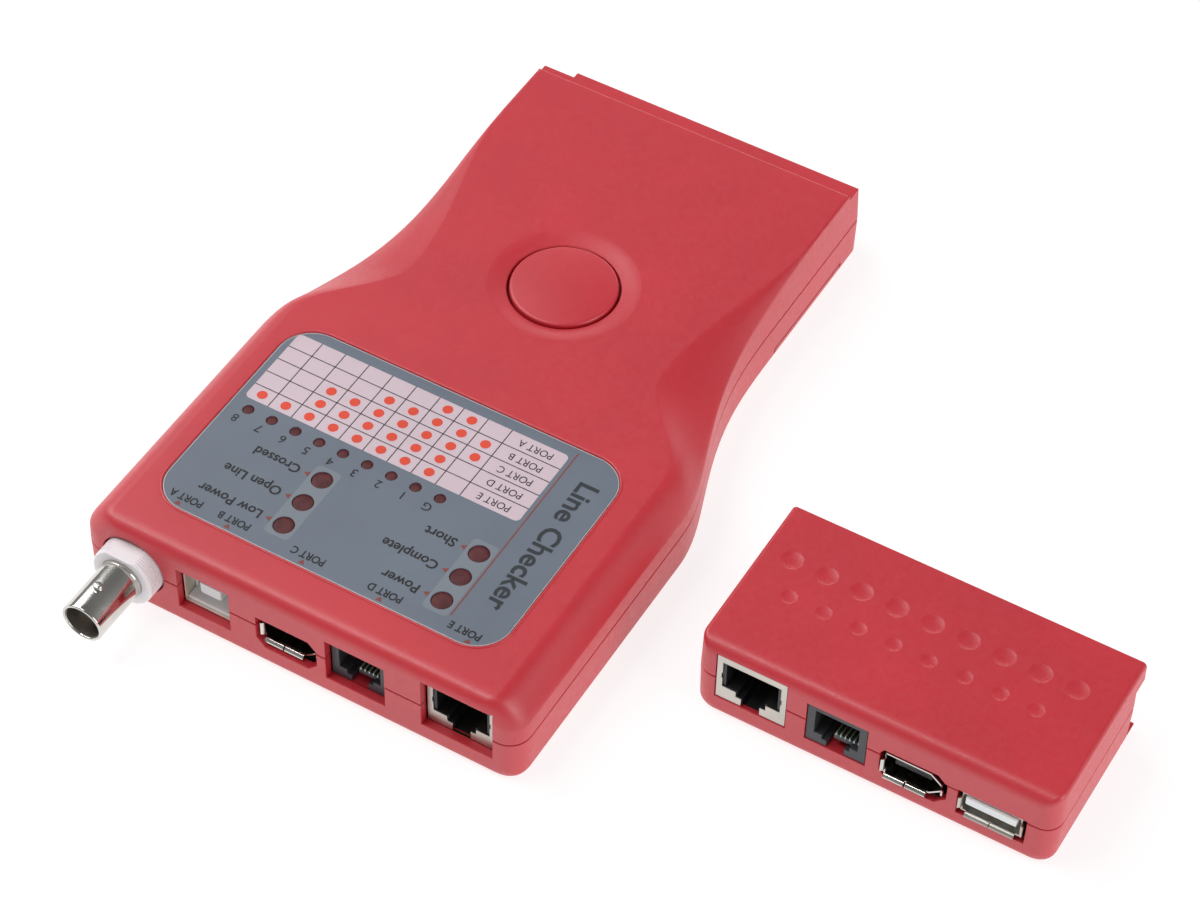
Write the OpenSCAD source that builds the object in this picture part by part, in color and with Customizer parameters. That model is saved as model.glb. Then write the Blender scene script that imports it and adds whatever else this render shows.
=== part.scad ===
// Network cable tester: a hand-held main unit and the remote end that docks on it.
// Millimetres. X is across, -Y is the end with the sockets, +Z is up, Z = 0 is the table.
// The origin is under the middle of the main unit.

/* [Main unit] */
// Length of the main unit without its docking tongue
body_len = 168; // [160:1:176]
// Width of the wide section that holds the sockets
front_w = 106; // [104:0.5:110]
// Width of the narrow section that holds the battery
far_w = 82; // [78:0.5:86]
// Height of the top face above the table
top_z = 22.8; // [22.4:0.1:24]
// Height of the parting line between the two shells
part_z = 12; // [11.8:0.1:12.4]
// Wall thickness of the shells
wall = 2; // [1.8:0.1:2.2]
// Plan radius of the two front corners
front_r = 5; // [4:0.5:6]
// Radius of the rounded bottom edge
bottom_r = 2.6; // [2.2:0.1:3]
// Radius of the rounded front top edge
front_top_r = 3.2; // [2.6:0.1:3.6]

/* [Neck] */
// Where the neck starts to widen, from the middle
neck_back_y = 46; // [40:1:52]
// Where the neck reaches full width, from the middle
neck_front_y = -18; // [-22:1:-14]
// Height of the top edge of the side wall in the wide section
side_edge_z = 16.6; // [15.5:0.1:17.5]
// Half width of the flat top where the side hollows are deepest
hollow_half_w = 31; // [29:0.5:34]
// Half width of the flat top in the wide section
flat_half_w = 46; // [44:0.5:47]

/* [Label] */
// Width of the front panel label
label_w = 82.8; // [80:0.2:84]
// Length of the front panel label
label_l = 56.6; // [54:0.2:58]
// Label centre across the unit, from its middle
label_x = -1.2; // [-1.6:0.1:-0.8]
// Label centre along the unit, from its middle
label_y = -45.3; // [-46:0.1:-44]
// Corner radius of the label
label_r = 8; // [6:0.5:9]

/* [Power button] */
// Diameter of the button cap
button_d = 24; // [20:0.5:25]
// Gap round the button cap
button_gap = 0.55; // [0.4:0.05:0.7]
// Button centre, from the middle of the unit
button_y = 22.4; // [21:0.2:24]
// How far the button travels
button_travel = 1.2; // [0.8:0.1:1.4]

/* [Docking] */
// How far the remote's two lips reach over the tongue
dock_lip = 4.4; // [4:0.1:5]
// Half width of the docking tongue
dock_half_w = 36; // [34:0.5:37]

/* [Remote] */
// Width of the remote
remote_w = 80.6; // [78:0.2:82]
// Depth of the remote with its docking lips
remote_len = 41; // [38:0.5:44]
// Height of the remote
remote_h = 21.5; // [21.2:0.1:22.5]
// Middle of the remote as it lies beside the main unit
remote_x = 112.3; // [110:0.1:118]
// Front face of the remote as it lies beside the main unit
remote_y = -47.2; // [-52:0.1:-44]

/* [Hidden] */
$fn = 48;

shell_red = [0.78, 0.16, 0.20];
front_y = -body_len / 2;
end_y = body_len / 2;
tiny = 0.01;
// Clearance between parts that only lie beside each other
slack = 0.15;

// Ledge along the far top edge, and the short notch at its left end
ledge_l = 4.7;
ledge_drop = 1.5;
notch_x = -32.8;
notch_l = 2;

// Circuit boards
board_z = 4.4;
board_t = 1.6;
seat_z = board_z + board_t;
display_z = 18.1;
display_t = 1.2;

// Sockets: middle of each along X, and how far its face is set back
bnc_x = -39.9;
usb_b_x = -22.5;
firewire_x = -2.25;
rj11_x = 14.35;
rj45_x = 38.45;
set_back = 1.9;
jack_y = front_y + set_back;
remote_set_back = 0.25;
remote_jack_y = remote_y + remote_set_back;
remote_rj45_x = remote_x - 27.3;
remote_rj11_x = remote_x - 7.9;
remote_firewire_x = remote_x + 9.4;
remote_usb_x = remote_x + 26.7;

// Socket bodies: width, depth, height
rj45_size = [15.9, 18, 13.1];
rj11_size = [13.4, 16, 11];
usb_b_size = [12, 16, 10.8];
firewire_size = [12.8, 15, 6.4];
usb_a_size = [13.1, 14, 5.8];
// How far the sheet-metal sockets stand above the board on their feet
firewire_lift = 0.9;
remote_firewire_lift = 0.5;
usb_a_lift = 0.3;
sheet_t = 0.35;

// Coaxial socket
bnc_r = 4.85;
bnc_bore_r = 4.15;
bnc_collar_r = 7.2;
bnc_collar_out = 4.2;
bnc_end_out = 18;
bnc_lug_out = 11.5;

// Indicator lights
led_pitch = 5.94;
pin_led_x = label_x - 36.8;
pin_led_y = -43.6;
pin_led_r = 1.2;
pin_led_count = 9;
status_led_r = 2.2;
status_led_x = [label_x - 12.75, label_x + 25.35];
status_led_y = [-66.2, -59.1, -52];
led_gap = 0.12;

// Case screws and their bosses
screw_at = [[-47.2, -50], [47.2, -50], [-37, 17], [37, 17], [-34, 80.2], [34, 80.2]];
remote_screw_at = [[-34, -16.2], [34, -16.2]];
screw_r = 1.1;
pilot_r = 1.2;
screw_head_r = 2.3;
head_hole_r = 2.6;
boss_r = 3;
head_z = 1.6;
// Posts under the main board
board_post_x = [-26, 26];
board_post_y = [-58, -10, 34];
board_post_r = 2;

// Battery and its bay
cover_y = [45.5, 77];
cover_side_z = 3.8;
cover_gap = 0.2;
battery_size = [46.4, 26.2, 17.2];
battery_at = [-26, 48.2, 2.6];

// Docking tongue and the channel in the remote that goes over it
tongue_z = [2.1, 16.4];
channel_z = [1.8, 16.7];
tongue_l = 4.2;
remote_wall = 1.8;
remote_front_r = 4;
remote_edge_r = 1;
remote_front_top_r = 3.2;

function clip(t) = min(max(t, 0), 1);
function smooth(t) = let (u = clip(t)) u * u * (3 - 2 * u);
// How far a rounded corner of radius r lies inside its square corner, d along from the face
function corner_in(d, r) = r - sqrt(max(r * r - pow(r - min(max(d, 0), r), 2), 0));

// Plan half width of the main unit at the parting line
function half_w(y) =
    let (t = clip((neck_back_y - y) / (neck_back_y - neck_front_y)))
    far_w / 2 + (front_w - far_w) / 2 * smooth(pow(t, 1.6));
// Half width of the flat top: it narrows into the side hollows at the neck
function flat_w(y) =
    hollow_half_w + (far_w / 2 - 0.5 - hollow_half_w) * smooth((y - 11) / 55)
    + (flat_half_w - hollow_half_w) * smooth((10 - y) / 24);
// Height at which the side wall meets the sloping top
function edge_z(y) = side_edge_z + (top_z - 0.25 - side_edge_z) * smooth((y - 4) / 62);
// How sharply the slope starts: crisp in the hollows, soft elsewhere
function crease(y) = 0.6 * smooth((y + 14) / 14) * smooth((50 - y) / 30);
// How far the slope has fallen, s being 0 at the flat top and 1 at the side wall
function slope(s, a) = a * s + (1 - a) * s * s;
// Height of the outer skin above a point beside the flat top
function skin_z(x, y) =
    let (s = clip((x - flat_w(y)) / (half_w(y) - flat_w(y))))
    top_z - (top_z - edge_z(y)) * slope(s, crease(y));

// Stations along Y: close together at the rounded front and through the neck
front_steps = [0, 0.15, 0.5, 1, 1.7, 2.5, 3.6, 5];
neck_steps = [for (y = [-20 : 3 : 67]) y];
slope_steps = 7;
function stations(y0, y1, steps) = concat([for (d = steps) y0 + d],
    [for (y = neck_steps) if (y > y0 + 5 && y < y1) y], [y1]);

// Right half of a cross-section above the parting line, from the wall to the flat top,
// for a surface that lies t inside the outer skin
function upper_half(y, t) =
    let (d = y - front_y - t, w0 = half_w(y) - t,
         w = w0 - corner_in(d, front_r - t / 2),
         top = top_z - t - corner_in(d, front_top_r),
         edge = min(edge_z(y) - t * 0.6, top - 0.2),
         lean = 0.05 * (edge - part_z),
         flat = min(flat_w(y) - t * 0.4, w0 - 1.2) * (w - 1) / (w0 - 1),
         out = w - lean, a = crease(y))
    concat([[w, y, part_z - (t > 0 ? tiny : 0)]],
           [for (i = [slope_steps : -1 : 0])
            let (s = i / slope_steps)
            [flat + (out - flat) * s, y, top - (top - edge) * slope(s, a)]]);
// Right half of a cross-section below the parting line
function lower_half(y, t) =
    let (d = y - front_y - t, r = bottom_r - t / 2,
         w = half_w(y) - t - corner_in(d, front_r - t / 2),
         base = t + corner_in(d, r))
    concat([for (k = [0 : 4])
            let (a = 90 * k / 4)
            [w - 0.2 - r + r * sin(a), y, base + r - r * cos(a)]],
           [[w, y, part_z + (t > 0 ? tiny : 0)]]);
// Closes a half section with its mirror image
function both_sides(half) =
    let (n = len(half))
    concat(half, [for (i = [n - 1 : -1 : 0]) [-half[i][0], half[i][1], half[i][2]]]);

module loft(rings) {
    n = len(rings[0]);
    m = len(rings);
    points = [for (r = rings) each r];
    near_cap = [for (i = [0 : n - 1]) n - 1 - i];
    far_cap = [for (i = [0 : n - 1]) (m - 1) * n + i];
    sides = [for (k = [0 : m - 2]) for (i = [0 : n - 1])
             let (a = k * n + i, b = k * n + (i + 1) % n) each [[a, b, b + n], [a, b + n, a + n]]];
    polyhedron(points, concat([near_cap, far_cap], sides), convexity = 6);
}

module upper_skin(t, y1) {
    loft([for (y = stations(front_y + t, y1, front_steps)) both_sides(upper_half(y, t))]);
}

module lower_skin(t, y1) {
    loft([for (y = stations(front_y + t, y1, front_steps)) both_sides(lower_half(y, t))]);
}

// A box given by its middle along X and its other limits
module block(x, w, y0, y1, z0, z1) {
    translate([x - w / 2, y0, z0]) cube([w, y1 - y0, z1 - z0]);
}

// An upright cylinder between two heights
module post(x, y, r, z0, z1) {
    translate([x, y, z0]) cylinder(r = r, h = z1 - z0);
}

// A cylinder along +Y between two stations
module rod_y(x, z, r, y0, y1) {
    translate([x, y0, z]) rotate([-90, 0, 0]) cylinder(r = r, h = y1 - y0);
}

// Plan rectangle with round corners, centred
module round_rect(w, l, r) {
    square([w - 2 * r, l], center = true);
    square([w, l - 2 * r], center = true);
    for (i = [-1, 1], j = [-1, 1]) translate([i * (w / 2 - r), j * (l / 2 - r)]) circle(r = r);
}

// Extrudes a profile drawn in X and Z along +Y
module along_y(x, y, z, l) {
    translate([x, y + l, z]) rotate([90, 0, 0]) linear_extrude(l) children();
}

// Openings in the front of the main unit, each a little larger than its socket
module front_openings() {
    y1 = front_y + wall + 2.5;
    block(rj45_x, rj45_size[0] + 0.8, front_y - 1, y1, seat_z - 0.2, seat_z + rj45_size[2] + 0.5);
    block(rj11_x, rj11_size[0] + 0.7, front_y - 1, y1, seat_z - 0.2, seat_z + rj11_size[2] + 0.5);
    block(usb_b_x, usb_b_size[0] + 0.8, front_y - 1, y1, seat_z - 0.2, seat_z + usb_b_size[2] + 0.6);
    along_y(firewire_x, front_y - 1, seat_z, wall + 3.5)
        polygon([[-5.2, -0.2], [5.2, -0.2], [7.35, 2], [7.35, 6.4], [5.4, 8.4], [-7.35, 8.4],
                 [-7.35, 2]]);
    rod_y(bnc_x, part_z, bnc_collar_r + 0.4, front_y - 1, y1);
}

module tongue(z0, z1) {
    intersection() {
        translate([-dock_half_w, 0, 0]) rotate([90, 0, 90]) linear_extrude(2 * dock_half_w)
            polygon([[end_y - 1, tongue_z[0]], [end_y + tongue_l, tongue_z[0]],
                     [end_y + tongue_l, tongue_z[1] - 1.2], [end_y + tongue_l / 2, tongue_z[1]],
                     [end_y - 1, tongue_z[1]]]);
        block(0, 3 * dock_half_w, end_y - 2, end_y + 2 * tongue_l, z0, z1);
    }
}

// Bosses reach up into the skin above them
function boss_top(p) = min(skin_z(abs(p[0]) + boss_r, p[1]) - 0.5, top_z - ledge_drop - 0.5);

module top_shell() {
    color(shell_red) difference() {
        union() {
            difference() {
                upper_skin(0, end_y);
                upper_skin(wall, end_y - ledge_l - 1.2);
            }
            // Bead round the label
            translate([label_x, label_y, top_z - 0.5]) linear_extrude(0.72) difference() {
                round_rect(label_w + 1.5, label_l + 1.5, label_r + 0.75);
                round_rect(label_w + 0.3, label_l + 0.3, label_r + 0.15);
            }
            for (p = screw_at) post(p[0], p[1], boss_r, part_z, boss_top(p));
            tongue(part_z, tongue_z[1]);
            // Rib that stops the battery from moving forward
            block(0, 40, cover_y[0] - 3, cover_y[0] - 1.6, part_z, top_z - 1);
        }
        for (p = screw_at) post(p[0], p[1], pilot_r, part_z - 1, boss_top(p) - 1.6);
        // Ledge and notch along the far edge
        block(0, far_w + 4, end_y - ledge_l, end_y + tongue_l, top_z - ledge_drop, top_z + 1);
        block(notch_x - 10, 20, end_y - notch_l, end_y + 1, tongue_z[1], top_z + 1);
        // Label recess and windows
        translate([label_x, label_y, top_z - 0.4]) linear_extrude(1)
            round_rect(label_w + 0.3, label_l + 0.3, label_r + 0.15);
        led_windows(top_z - 4, led_gap);
        // Button well and the shallow dish round it
        post(0, button_y, button_d / 2 + button_gap, top_z - 5, top_z + 1);
        translate([0, button_y, top_z + 77.2]) sphere(r = 79, $fn = 96);
        front_openings();
    }
}

// Holes for the indicator lights
module led_windows(z0, gap) {
    for (i = [0 : pin_led_count - 1])
        post(pin_led_x + i * led_pitch, pin_led_y, pin_led_r + gap, z0, top_z + 1);
    for (x = status_led_x, y = status_led_y) post(x, y, status_led_r + gap, z0, top_z + 1);
}

module bottom_shell() {
    color(shell_red) difference() {
        union() {
            difference() {
                lower_skin(0, end_y);
                lower_skin(wall, end_y - wall);
            }
            for (p = screw_at) post(p[0], p[1], boss_r, wall - tiny, part_z - slack);
            tongue(tongue_z[0], part_z - slack);
            // Posts under the main board
            for (x = board_post_x, y = board_post_y) post(x, y, board_post_r, wall - tiny, board_z);
            // Rib between the board and the battery
            block(-6, 36, cover_y[0] - 3, cover_y[0] - 1.6, wall - tiny, part_z - 1);
        }
        for (p = screw_at) {
            post(p[0], p[1], screw_r + 0.15, -1, part_z + 1);
            post(p[0], p[1], head_hole_r, -1, wall + 2);
        }
        // Opening for the battery cover, which wraps round both bottom edges
        block(0, far_w + 10, cover_y[0], cover_y[1], -1, cover_side_z);
        front_openings();
        translate([0, 0, part_z - slack]) block(0, 200, -100, 100, 0, 5);
    }
}

module battery_cover() {
    color(shell_red) {
        difference() {
            intersection() {
                lower_skin(0, end_y);
                block(0, far_w + 10, cover_y[0] + cover_gap, cover_y[1] - cover_gap, -1,
                      cover_side_z - cover_gap);
            }
            lower_skin(wall, end_y - wall);
            // Thumb grip: five shallow grooves
            for (i = [0 : 4]) block(0, 16, cover_y[0] + 5 + i * 2.4, cover_y[0] + 6 + i * 2.4, -1, 0.5);
        }
        // Stiffening ribs inside, beside the battery
        for (x = [-32, 34]) block(x, 1.4, cover_y[0] + 3, cover_y[1] - 3, wall - tiny, wall + 2.5);
    }
}

module label_overlay() {
    color([0.43, 0.46, 0.50]) difference() {
        translate([label_x, label_y, top_z - 0.4]) linear_extrude(0.3)
            round_rect(label_w, label_l, label_r);
        led_windows(top_z - 4, led_gap);
    }
}

// A light: a round lens with a wider base that sits on the display board
module light(x, y, r) {
    post(x, y, r, display_z + display_t, top_z - 0.14);
    post(x, y, r + 0.35, display_z + display_t, display_z + display_t + 0.8);
}

module pin_leds() {
    color([0.35, 0.09, 0.10])
        for (i = [0 : pin_led_count - 1]) light(pin_led_x + i * led_pitch, pin_led_y, pin_led_r);
}

module status_leds() {
    color([0.40, 0.10, 0.11])
        for (x = status_led_x, y = status_led_y) light(x, y, status_led_r);
}

module main_board() {
    color([0.10, 0.38, 0.22]) difference() {
        translate([0, 0, board_z]) linear_extrude(board_t) polygon([
            [-46.5, front_y + wall + 0.6], [48, front_y + wall + 0.6], [48, -58], [43.5, -58],
            [43.5, -20], [31, -8], [31, 40], [-31, 40], [-31, -8], [-43.5, -20], [-43.5, -58],
            [-46.5, -58]]);
        for (x = board_post_x, y = board_post_y) post(x, y, pilot_r, 0, 10);
        // Holes for the solder tabs of the coaxial and FireWire sockets
        for (i = [-1, 1]) {
            block(bnc_x + i * 4, 1.4, front_y + 9.6, front_y + 12.4, 0, 10);
            block(firewire_x + i * 4, 1.2, jack_y + 7.8, jack_y + 9, 0, 10);
        }
    }
}

module display_board() {
    color([0.10, 0.38, 0.22]) translate([0, 0, display_z]) linear_extrude(display_t) polygon([
        [-43, -60], [-30, -60], [-30, -72], [29, -72], [29, -60], [43, -60], [43, -20], [-43, -20]]);
}

// Header between the two boards: a black strip and its row of pins
module board_header() {
    color([0.08, 0.08, 0.09]) difference() {
        block(0, 22.86, -27.3, -24.7, seat_z, display_z);
        for (i = [0 : 8]) post((i - 4) * 2.54, -26, 0.5, display_z - 3, display_z + 1);
    }
}

// Power switch: a square latching switch under the button
switch_top = 13.4;
plunger_r = 2;
plunger_z = [9, 15];
module switch_body() {
    color([0.10, 0.10, 0.11]) difference() {
        union() {
            block(0, 12, button_y - 6, button_y + 6, seat_z, switch_top - 2);
            post(0, button_y, 5.4, switch_top - 2 - tiny, switch_top);
        }
        post(0, button_y, plunger_r + 0.06, plunger_z[0] - button_travel - 0.4, switch_top + 1);
    }
}

module switch_plunger() {
    color([0.85, 0.85, 0.82]) post(0, button_y, plunger_r, plunger_z[0], plunger_z[1]);
}

cap_under_z = 19.4;
cap_top_z = top_z - 0.25;
spring_mean_r = 4;
spring_wire_r = 0.35;
module power_button() {
    r = button_d / 2;
    color(shell_red) translate([0, button_y, 0]) rotate_extrude($fn = 96) polygon(concat(
        [[0, plunger_z[1] + 0.05], [2.4, plunger_z[1] + 0.05], [2.4, cap_under_z],
         [r - 1.4, cap_under_z], [r - 1.4, 18.6], [r + 1.6, 18.6], [r + 1.6, 19.5], [r, 19.5]],
        // Round rim, then the slightly domed top
        [for (a = [0 : 22.5 : 90]) [r - 0.7 + 0.7 * cos(a), cap_top_z - 0.7 + 0.7 * sin(a)]],
        [for (i = [4 : -1 : 0]) let (s = i / 5) [(r - 0.7) * s, cap_top_z + 0.7 * (1 - s * s)]]));
}

// Return spring: round wire swept along a helix with closed ends
spring_turns = 5;
spring_sides = 8;
spring_rings = 60;
module button_spring() {
    z0 = switch_top + spring_wire_r + 0.03;
    z1 = cap_under_z - spring_wire_r - 0.03;
    function centre(i) =
        let (a = 360 * spring_turns * i / spring_rings)
        [spring_mean_r * cos(a), button_y + spring_mean_r * sin(a), z0 + (z1 - z0) * i / spring_rings];
    color([0.75, 0.76, 0.78]) loft([for (i = [0 : spring_rings])
        let (a = 360 * spring_turns * i / spring_rings, c = centre(i))
        [for (k = [0 : spring_sides - 1])
         let (b = -360 * k / spring_sides, q = spring_wire_r * cos(b))
         [c[0] + q * cos(a), c[1] + q * sin(a), c[2] + spring_wire_r * sin(b)]]]);
}

module bnc_barrel() {
    y0 = front_y - bnc_end_out;
    color([0.78, 0.77, 0.74]) {
        difference() {
            union() {
                rod_y(bnc_x, part_z, bnc_r, y0, front_y + 12);
                // Two bayonet studs
                post(bnc_x, front_y - bnc_lug_out, 1, part_z - bnc_r - 0.9, part_z + bnc_r + 0.9);
            }
            rod_y(bnc_x, part_z, bnc_bore_r, y0 - 1, front_y + 10);
        }
        // Solder tabs down to the board
        for (i = [-1, 1]) block(bnc_x + i * 4, 0.8, front_y + 10, front_y + 12, board_z - 1.2, part_z);
    }
}

module bnc_collar() {
    color([0.93, 0.92, 0.93]) difference() {
        union() {
            rod_y(bnc_x, part_z, bnc_collar_r, front_y - bnc_collar_out, front_y + wall + 0.5);
            block(bnc_x, 14, front_y + wall + 0.2, front_y + 14, seat_z + 0.05, part_z + 6);
        }
        rod_y(bnc_x, part_z, bnc_r + 0.03, front_y - bnc_collar_out - 1, front_y + 15);
        for (i = [-1, 1])
            block(bnc_x + i * 4, 1.2, front_y + 9.8, front_y + 15, seat_z - 1, part_z);
    }
}

module bnc_insulator() {
    color([0.90, 0.89, 0.84]) difference() {
        union() {
            rod_y(bnc_x, part_z, bnc_bore_r - 0.03, front_y + 2, front_y + 9.9);
            rod_y(bnc_x, part_z, 2.4, front_y - 11, front_y + 3);
        }
        rod_y(bnc_x, part_z, 1.13, front_y - 12, front_y + 12);
    }
}

module bnc_contact() {
    color([0.85, 0.66, 0.30]) difference() {
        rod_y(bnc_x, part_z, 1.1, front_y - 10, front_y + 9.8);
        rod_y(bnc_x, part_z, 0.7, front_y - 11, front_y - 4);
    }
}

// Plan of a telephone-style opening seen from the front: the plug space, then the latch slot
module plug_outline(w, h, latch_w, step_w, step_h) {
    translate([-w / 2, 0]) square([w, h]);
    translate([-step_w / 2, -step_h]) square([step_w, step_h + 0.1]);
    translate([-latch_w / 2, -4]) square([latch_w, 4.1]);
}

rj45_plug_z = 3.9;
rj45_plug = [11.8, 7.4];
module rj45_opening() {
    translate([0, rj45_plug_z]) plug_outline(rj45_plug[0], rj45_plug[1], 4, 6.4, 1.7);
}

module rj45_shield_at(x, y) {
    w = rj45_size[0];
    h = rj45_size[2];
    color([0.74, 0.72, 0.68]) difference() {
        block(x, w, y, y + rj45_size[1], seat_z, seat_z + h);
        block(x, w - 2 * sheet_t, y + sheet_t, y + rj45_size[1] + 1, seat_z - 1, seat_z + h - sheet_t);
        along_y(x, y - 1, seat_z, 3) rj45_opening();
    }
}

module rj45_housing_at(x, y) {
    w = rj45_size[0] - 2 * sheet_t - 0.1;
    top = seat_z + rj45_size[2] - sheet_t - 0.05;
    color([0.07, 0.07, 0.08]) difference() {
        block(x, w, y + sheet_t + 0.05, y + rj45_size[1] - 0.4, seat_z + 0.02, top);
        along_y(x, y, seat_z, 13) rj45_opening();
    }
}

// Spring contacts: a row of thin wires that slope down into the plug space
module contacts_at(x, y, z, count, pitch, wire, l) {
    color([0.83, 0.68, 0.35]) for (i = [0 : count - 1])
        translate([x + (i - (count - 1) / 2) * pitch - wire / 2, y, z])
            rotate([-24, 0, 0]) cube([wire, l, wire]);
}

module rj45_contacts_at(x, y) {
    contacts_at(x, y + 2.2, seat_z + rj45_plug_z + rj45_plug[1] - 0.5, 8, 1.02, 0.4, 9);
}

rj11_plug_z = 2.9;
rj11_plug = [9.8, 6.9];
module rj11_opening() {
    translate([0, rj11_plug_z]) plug_outline(rj11_plug[0], rj11_plug[1], 4, 6.2, 1.2);
}

module rj11_housing_at(x, y) {
    color([0.16, 0.17, 0.19]) difference() {
        block(x, rj11_size[0], y, y + rj11_size[1], seat_z, seat_z + rj11_size[2]);
        along_y(x, y - 1, seat_z, 13) rj11_opening();
    }
}

module rj11_contacts_at(x, y) {
    contacts_at(x, y + 1.5, seat_z + rj11_plug_z + rj11_plug[1] - 0.5, 6, 1.02, 0.4, 8.5);
}

// USB-B: a sheet-metal shell with two bevelled corners behind a nearly square front flange
module usb_b_outline(t) {
    w = usb_b_size[0] / 2 - t;
    h = usb_b_size[2] - t;
    b = 1.9;
    polygon([[-w, t], [w, t], [w, h - b], [w - b, h], [-w + b, h], [-w, h - b]]);
}

module usb_b_shell() {
    color([0.78, 0.77, 0.74]) difference() {
        union() {
            along_y(usb_b_x, jack_y, seat_z, usb_b_size[1]) usb_b_outline(0);
            along_y(usb_b_x, jack_y, seat_z, 0.5) translate([0, usb_b_size[2] / 2])
                round_rect(usb_b_size[0], usb_b_size[2], 0.6);
        }
        along_y(usb_b_x, jack_y - 1, seat_z, usb_b_size[1] + 2) usb_b_outline(sheet_t);
    }
}

module usb_b_insert() {
    color([0.90, 0.91, 0.90]) {
        difference() {
            along_y(usb_b_x, jack_y + 0.3, seat_z, usb_b_size[1] - 0.8) usb_b_outline(sheet_t + 0.04);
            along_y(usb_b_x, jack_y - 1, seat_z, 11) usb_b_outline(sheet_t + 1);
        }
        // Tongue between the two rows of contacts
        block(usb_b_x, 5.5, jack_y + 1.6, jack_y + 11, seat_z + 3.9, seat_z + 6.9);
    }
}

// FireWire: a flat sheet-metal shell with one pointed end
module firewire_outline(t) {
    w = firewire_size[0] / 2 - t;
    h = firewire_size[2] - t;
    b = 2.7;
    polygon([[-w, t], [w - b, t], [w, t + b - 0.4], [w, h - b + 0.4], [w - b, h], [-w, h]]);
}

// A guide flap: a strip of the shell bent outwards at the mouth
module flap(l, turn) {
    rotate([0, turn, 0]) translate([-l / 2, 0, 0]) rotate([-28, 0, 0]) translate([0, -1.3, 0])
        cube([l, 1.5, sheet_t]);
}

module firewire_shell_at(x, y, lift) {
    w = firewire_size[0];
    h = firewire_size[2];
    color([0.78, 0.77, 0.74]) translate([x, y, seat_z + lift]) {
        difference() {
            along_y(0, 0, 0, firewire_size[1]) firewire_outline(0);
            along_y(0, -1, 0, firewire_size[1] + 2) firewire_outline(sheet_t);
        }
        for (i = [-2.8, 2.4]) translate([i, 0, 0.12]) mirror([0, 0, 1]) translate([0, 0, -sheet_t])
            flap(4.6, 0);
        translate([-w / 2 + sheet_t, 0, h / 2]) flap(3.6, -90);
        translate([w / 2 - sheet_t, 0, h / 2]) flap(1.6, 90);
        for (i = [-1, 1]) block(i * 4, 0.8, 8, 8.8, -lift - 2, tiny);
    }
}

module firewire_insert_at(x, y, lift) {
    z = seat_z + lift;
    color([0.07, 0.07, 0.08]) {
        along_y(x, y + 9, z, 5.5) firewire_outline(sheet_t + 0.05);
        block(x - 0.6, 8.2, y + 1.6, y + 9.2, z + 2.3, z + 4.1);
    }
}

module usb_a_shell_at(x, y) {
    w = usb_a_size[0];
    h = usb_a_size[2];
    color([0.78, 0.77, 0.74]) translate([x, y, seat_z + usb_a_lift]) {
        difference() {
            block(0, w, 0, usb_a_size[1], 0, h);
            block(0, w - 2 * sheet_t, -1, usb_a_size[1] + 1, sheet_t, h - sheet_t);
        }
        for (i = [-2.9, 2.9]) translate([i, 0, 0.12]) mirror([0, 0, 1]) translate([0, 0, -sheet_t])
            flap(5, 0);
        translate([-w / 2 + sheet_t, 0, h / 2]) flap(3.4, -90);
        translate([w / 2 - sheet_t, 0, h / 2]) flap(3.4, 90);
        for (i = [-1, 1]) block(i * 5.2, 0.8, 9, 9.8, -usb_a_lift - 2, tiny);
    }
}

module usb_a_insert_at(x, y) {
    z = seat_z + usb_a_lift;
    color([0.92, 0.93, 0.95]) {
        block(x, usb_a_size[0] - 2 * sheet_t - 0.1, y + 10, y + 13.5, z + sheet_t + 0.05,
              z + usb_a_size[2] - sheet_t - 0.05);
        block(x, 11.1, y + 1, y + 10.2, z + 3.1, z + 4.95);
    }
}

// Nine-volt battery lying across the unit, its two terminals towards +X
module battery() {
    b = battery_size;
    p = battery_at;
    cy = p[1] + b[1] / 2;
    cz = p[2] + b[2] / 2;
    color([0.20, 0.22, 0.26]) {
        difference() {
            translate(p) cube(b);
            for (j = [0, 1], k = [0, 1]) translate([0, p[1] + j * b[1], p[2] + k * b[2]])
                rotate([45, 0, 0]) cube([120, 2, 2], center = true);
        }
        for (j = [-1, 1]) translate([p[0] + b[0] - tiny, cy + j * 6.35, cz]) rotate([0, 90, 0])
            cylinder(r = j > 0 ? 2.8 : 3.4, h = 2.2);
    }
}

module battery_snap() {
    b = battery_size;
    p = battery_at;
    x0 = p[0] + b[0] + 2.5;
    cy = p[1] + b[1] / 2;
    cz = p[2] + b[2] / 2;
    color([0.09, 0.09, 0.10]) translate([x0, cy - 12.5, cz - 6]) cube([3, 25, 12]);
}

// Two leads from the battery snap to the main board
module battery_leads() {
    x = battery_at[0] + battery_size[0] + 4.2;
    y0 = 37;
    y1 = battery_at[1] + battery_size[1] / 2 - 12.6;
    for (i = [0, 1]) color(i == 0 ? [0.70, 0.08, 0.08] : [0.08, 0.08, 0.08]) {
        rod_y(x - i * 1.8, 9, 0.6, y0, y1);
        translate([x - i * 1.8, y0, 9]) sphere(r = 0.6);
        post(x - i * 1.8, y0, 0.6, seat_z + 0.02, 9);
    }
}

// Pan-head self-tapping screw from below
module screw(x, y, top) {
    post(x, y, screw_r, head_z, top);
    difference() {
        post(x, y, screw_head_r, head_z, head_z + 1.8);
        for (a = [0, 90]) translate([x, y, head_z]) rotate([0, 0, a]) cube([2.6, 0.6, 1.2], center = true);
    }
}

module case_screws() {
    color([0.55, 0.56, 0.58]) for (p = screw_at) screw(p[0], p[1], boss_top(p) - 2);
}

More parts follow.
